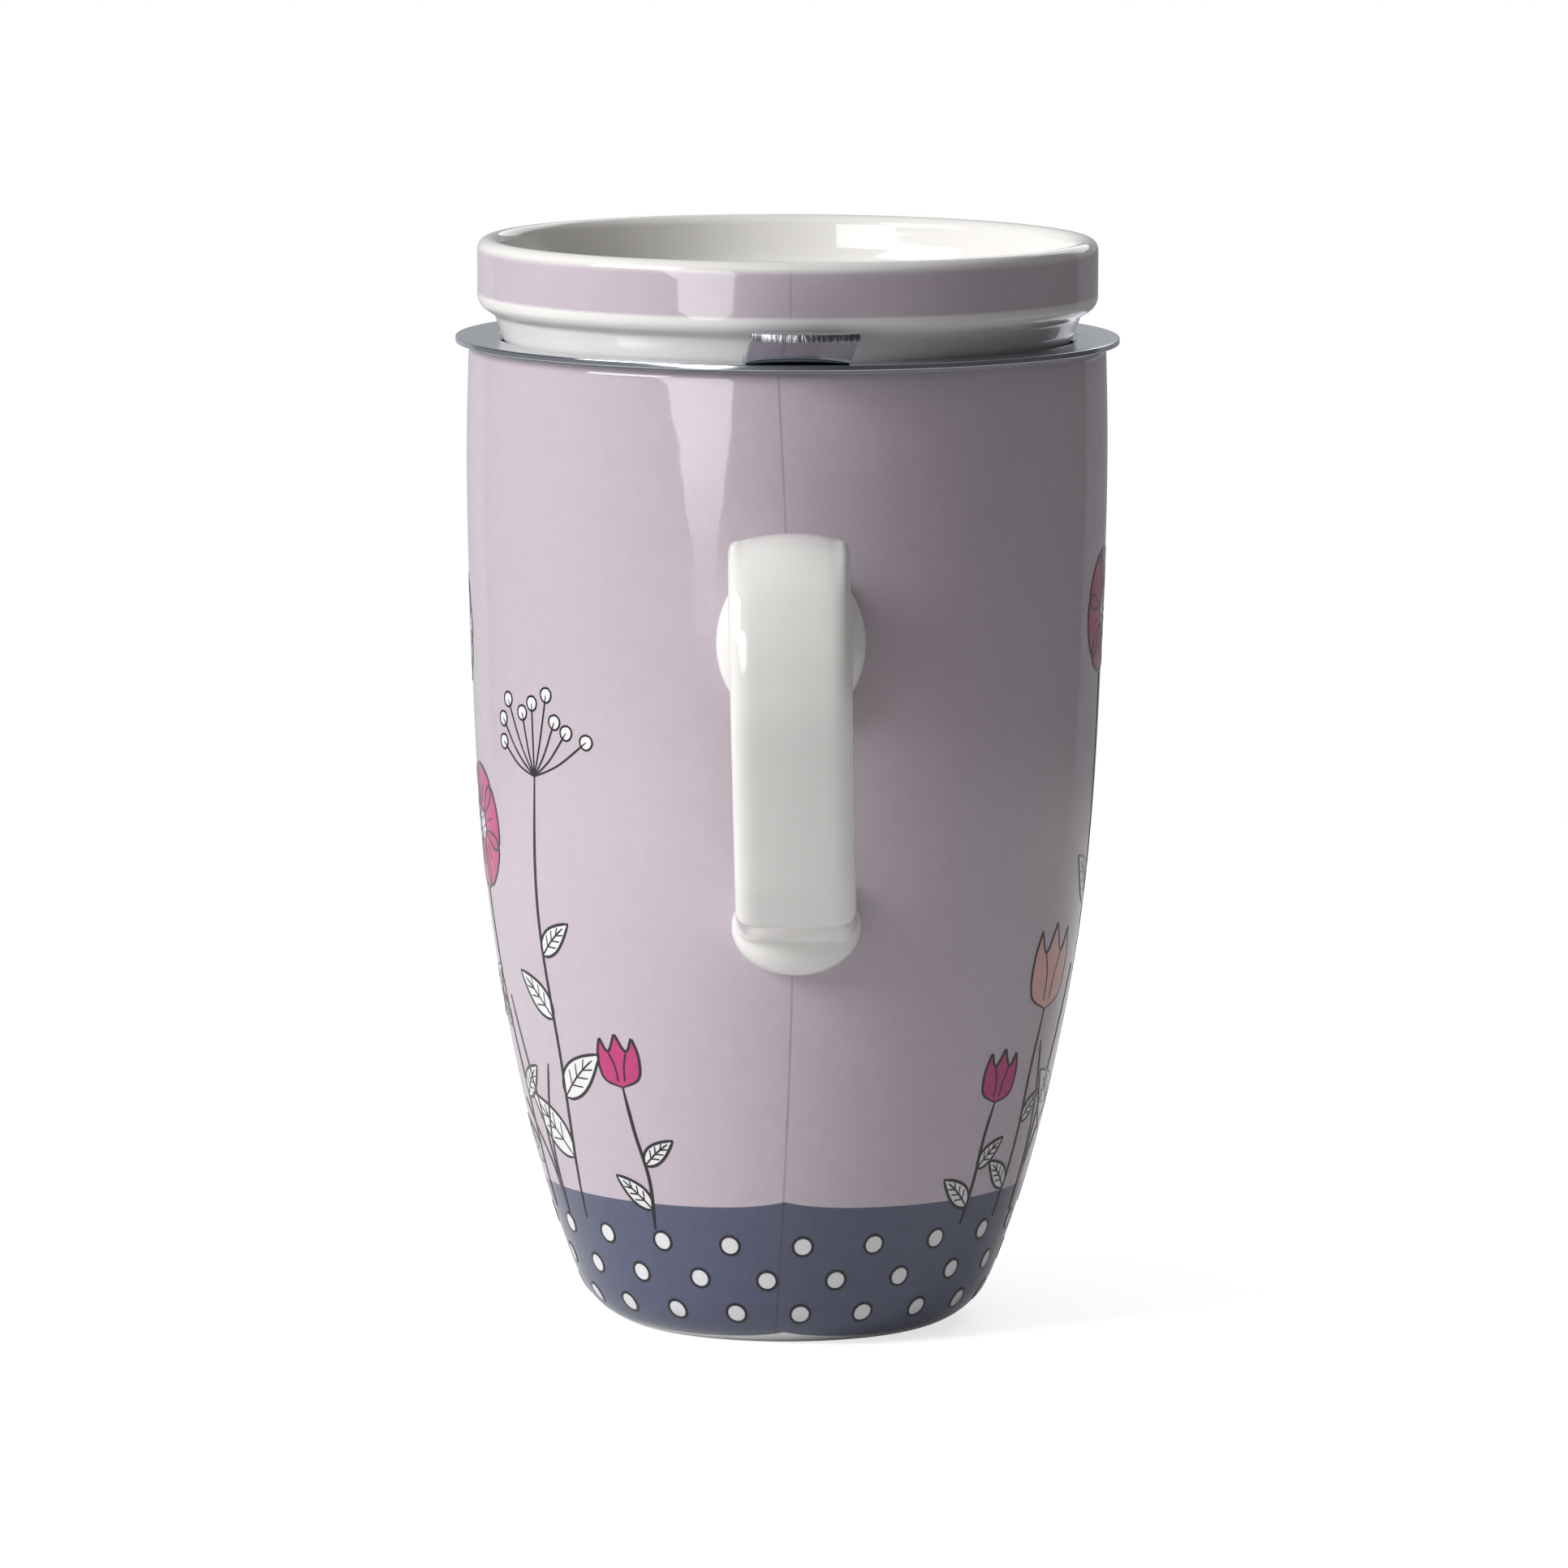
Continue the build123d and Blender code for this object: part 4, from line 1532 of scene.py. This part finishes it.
HORIZON = (-0.02, 0.04)  # z of a direction, from where the table ends to where the wall begins
BOUNCE_EDGE = (-0.15, 0.15)  # z, from all bounce to all gloom
ZENITH_EDGE = (0.55, 0.85)  # z, from where the soft box begins to where it is full
WHITE = (1.0, 1.0, 1.0)
MIRRORED_TINT = (0.93, 0.965, 1.0)
SENSOR_WIDTH = 36.0  # in millimetres
LENS_SHIFT = (-0.0013, -0.0032)
SIGHT = (0.05, 20)  # nearest and furthest that the camera sees


class TEAMUG_OT_stage(bpy.types.Operator):
    """Set up the floor, the lamps, the world and the camera."""

    bl_idname = "teamug.stage"
    bl_label = "Stage"

    def execute(self, context):
        settings = context.scene.teamug_stage
        table_disc()
        soft_lamp("key", settings.key_power, *KEY_FROM)
        soft_lamp("fill", settings.fill_power, *FILL_FROM).specular_factor = FILL_HIGHLIGHT
        strip_card()
        room(settings)
        camera(settings)
        context.scene.view_settings.view_transform = "Standard"
        return {"FINISHED"}


def direction(azimuth, elevation):
    """Unit vector from the mug towards an azimuth and elevation in degrees."""
    rise = math.radians(elevation)
    return at_azimuth(math.radians(azimuth), math.cos(rise), math.sin(rise))


def pale_table():
    """Matt finish that glows a little and fades out into the background."""
    recipe = Recipe("pale_table")
    _, radius = recipe.round_arc()
    rays = recipe.add("ShaderNodeLightPath").outputs
    mirrored = recipe.math("MULTIPLY", rays["Is Glossy Ray"], TABLE_MIRRORED)
    seen = recipe.math("MULTIPLY_ADD", rays["Is Camera Ray"], TABLE_SEEN, mirrored)
    recipe.set(Base_Color=TABLE_TINT, Roughness=0.7, Specular_IOR_Level=0.2)
    lit = recipe.fed("ShaderNodeAddShader", recipe.shader.outputs[0], recipe.glow(seen))
    clear = recipe.fed("ShaderNodeBsdfTransparent")
    faded = recipe.fed("ShaderNodeMixShader", recipe.ramp(radius, *TABLE_FADE), lit, clear)
    recipe.feed(recipe.surface, faded)
    return recipe.material


def table_disc():
    """Round table."""
    vertices = [(0, 0, 0)]
    for index in range(TABLE_SIDES):
        angle = 2 * math.pi * index / TABLE_SIDES
        vertices.append((TABLE_REACH * math.cos(angle), TABLE_REACH * math.sin(angle), 0))
    faces = [(0, index + 1, (index + 1) % TABLE_SIDES + 1) for index in range(TABLE_SIDES)]
    table = shown("table", new_mesh("table", vertices, faces, [pale_table()]))


def soft_lamp(name, watts, azimuth, elevation):
    """Large soft lamp that shines on the mug from an azimuth and elevation in degrees."""
    lamp = bpy.data.lights.new(name, "AREA")
    lamp.shape = "RECTANGLE"
    lamp.size, lamp.size_y = LAMP_SIZE
    lamp.energy = watts
    aim = direction(azimuth, elevation)
    holder = shown(name, lamp)
    holder.location = Vector(LAMP_AIM) + aim * LAMP_DISTANCE
    holder.rotation_euler = aim.to_track_quat("Z", "Y").to_euler()
    holder.visible_camera = False
    return lamp


def strip_glow():
    """Glow of the strip card, dim at its foot."""
    recipe = Recipe("strip_glow")
    strength = recipe.ramp(recipe.height(), 0.0, STRIP_DIM, *STRIP_GLOW)
    recipe.feed(recipe.surface, recipe.glow(strength))
    return recipe.material


def strip_card():
    """Low glowing card in front and to the left, seen only as a highlight."""
    vertices, faces = [], []
    for index, (height, *sides) in enumerate(STRIP_ROWS):
        for azimuth in sides:
            vertices.append(direction(azimuth, 0) * STRIP_DISTANCE + Vector((0, 0, height)))
        if index:
            base = 2 * index
            faces.append((base - 2, base, base + 1, base - 1))
    card = shown("strip", new_mesh("strip", vertices, faces, [strip_glow()]))
    card.visible_camera = False
    card.visible_diffuse = False
    card.visible_shadow = False
    card.visible_transmission = False


def mirrored_light(sky, settings):
    """Room as polished things mirror it: its table, sweep, dark front and soft box."""
    x, y, z = sky.split(sky.direction)
    level = sky.from_axis(x, y)
    side = sky.math("DIVIDE", x, level)
    middle = direction(SWEEP_MIDDLE, 0)
    along = sky.math("ADD", sky.math("MULTIPLY", x, middle[0]), sky.math("MULTIPLY", y, middle[1]))
    behind = sky.ramp(sky.math("DIVIDE", along, level), *SWEEP_EDGE)
    table = sky.blend(behind, sky.ramp(side, *NEAR_TABLE), sky.ramp(side, *FAR_TABLE))
    wall = sky.blend(behind, STUDIO_LIGHT, SWEEP_LIGHT)
    round_about = sky.blend(sky.ramp(z, *HORIZON), table, wall)
    return sky.blend(sky.ramp(z, *ZENITH_EDGE), round_about, settings.zenith)


def scattered_light(sky, settings):
    """Room as it lights matt things: bounce from the table, gloom and the soft box."""
    z = sky.split(sky.direction)[2]
    sideways = sky.ramp(z, *BOUNCE_EDGE, settings.bounce, settings.gloom)
    return sky.blend(sky.ramp(z, *ZENITH_EDGE), sideways, settings.zenith)


def room(settings):
    """White background, a pale sweep behind and a dark studio in front."""
    sky = Sky("studio")
    glossy = sky.math("MAXIMUM", sky.rays["Is Glossy Ray"], sky.rays["Is Transmission Ray"])
    unseen = sky.blend(glossy, scattered_light(sky, settings), mirrored_light(sky, settings))
    strength = sky.math("MAXIMUM", unseen, sky.rays["Is Camera Ray"])
    tint = sky.mix(glossy, WHITE, MIRRORED_TINT)
    glow = sky.fed("ShaderNodeBackground", tint, strength)
    sky.feed(sky.add("ShaderNodeOutputWorld").inputs["Surface"], glow)
    bpy.context.scene.world = sky.world


def camera(settings):
    """Long lens from the front, a little above the lid."""
    lens = bpy.data.cameras.new("camera")
    lens.lens = settings.focal_length
    lens.sensor_width = SENSOR_WIDTH
    lens.shift_x, lens.shift_y = LENS_SHIFT
    lens.clip_start, lens.clip_end = SIGHT
    holder = shown("camera", lens)
    drop = math.atan2(settings.camera_height - settings.aim_height, settings.camera_distance)
    holder.location = (0, -settings.camera_distance, settings.camera_height)
    tilt = Matrix.Rotation(math.pi / 2 - drop, 4, "X")
    holder.rotation_euler = (tilt @ Matrix.Rotation(settings.roll, 4, "Z")).to_euler()
    bpy.context.scene.camera = holder


# ---- Add-on ------------------------------------------------------------------------
OPERATORS = (
    TEAMUG_OT_body,
    TEAMUG_OT_handle,
    TEAMUG_OT_dots,
    TEAMUG_OT_meadow,
    TEAMUG_OT_lid,
    TEAMUG_OT_rim,
    TEAMUG_OT_lift_tab,
    TEAMUG_OT_basket,
    TEAMUG_OT_welds,
    TEAMUG_OT_stage,
)


class TEAMUG_PT_panel(bpy.types.Panel):
    """Buttons for each piece of the mug and for the stage."""

    bl_idname = "TEAMUG_PT_panel"
    bl_label = "Tea Mug"
    bl_space_type = "VIEW_3D"
    bl_region_type = "UI"
    bl_category = "Tea Mug"

    def draw(self, context):
        for operator in OPERATORS:
            self.layout.operator(operator.bl_idname)


def register():
    """Register the settings, the operators and the panel."""
    for name, group in SETTINGS.items():
        bpy.utils.register_class(group)
        setattr(bpy.types.Scene, name, PointerProperty(type=group))
    for operator in OPERATORS:
        bpy.utils.register_class(operator)
    bpy.utils.register_class(TEAMUG_PT_panel)


def unregister():
    """Take them all out again."""
    bpy.utils.unregister_class(TEAMUG_PT_panel)
    for operator in reversed(OPERATORS):
        bpy.utils.unregister_class(operator)
    for name, group in SETTINGS.items():
        delattr(bpy.types.Scene, name)
        bpy.utils.unregister_class(group)


def main():
    """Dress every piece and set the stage."""
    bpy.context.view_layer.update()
    register()
    for operator in OPERATORS:
        group, name = operator.bl_idname.split(".")
        getattr(getattr(bpy.ops, group), name)()


if __name__ == "__main__":
    main()
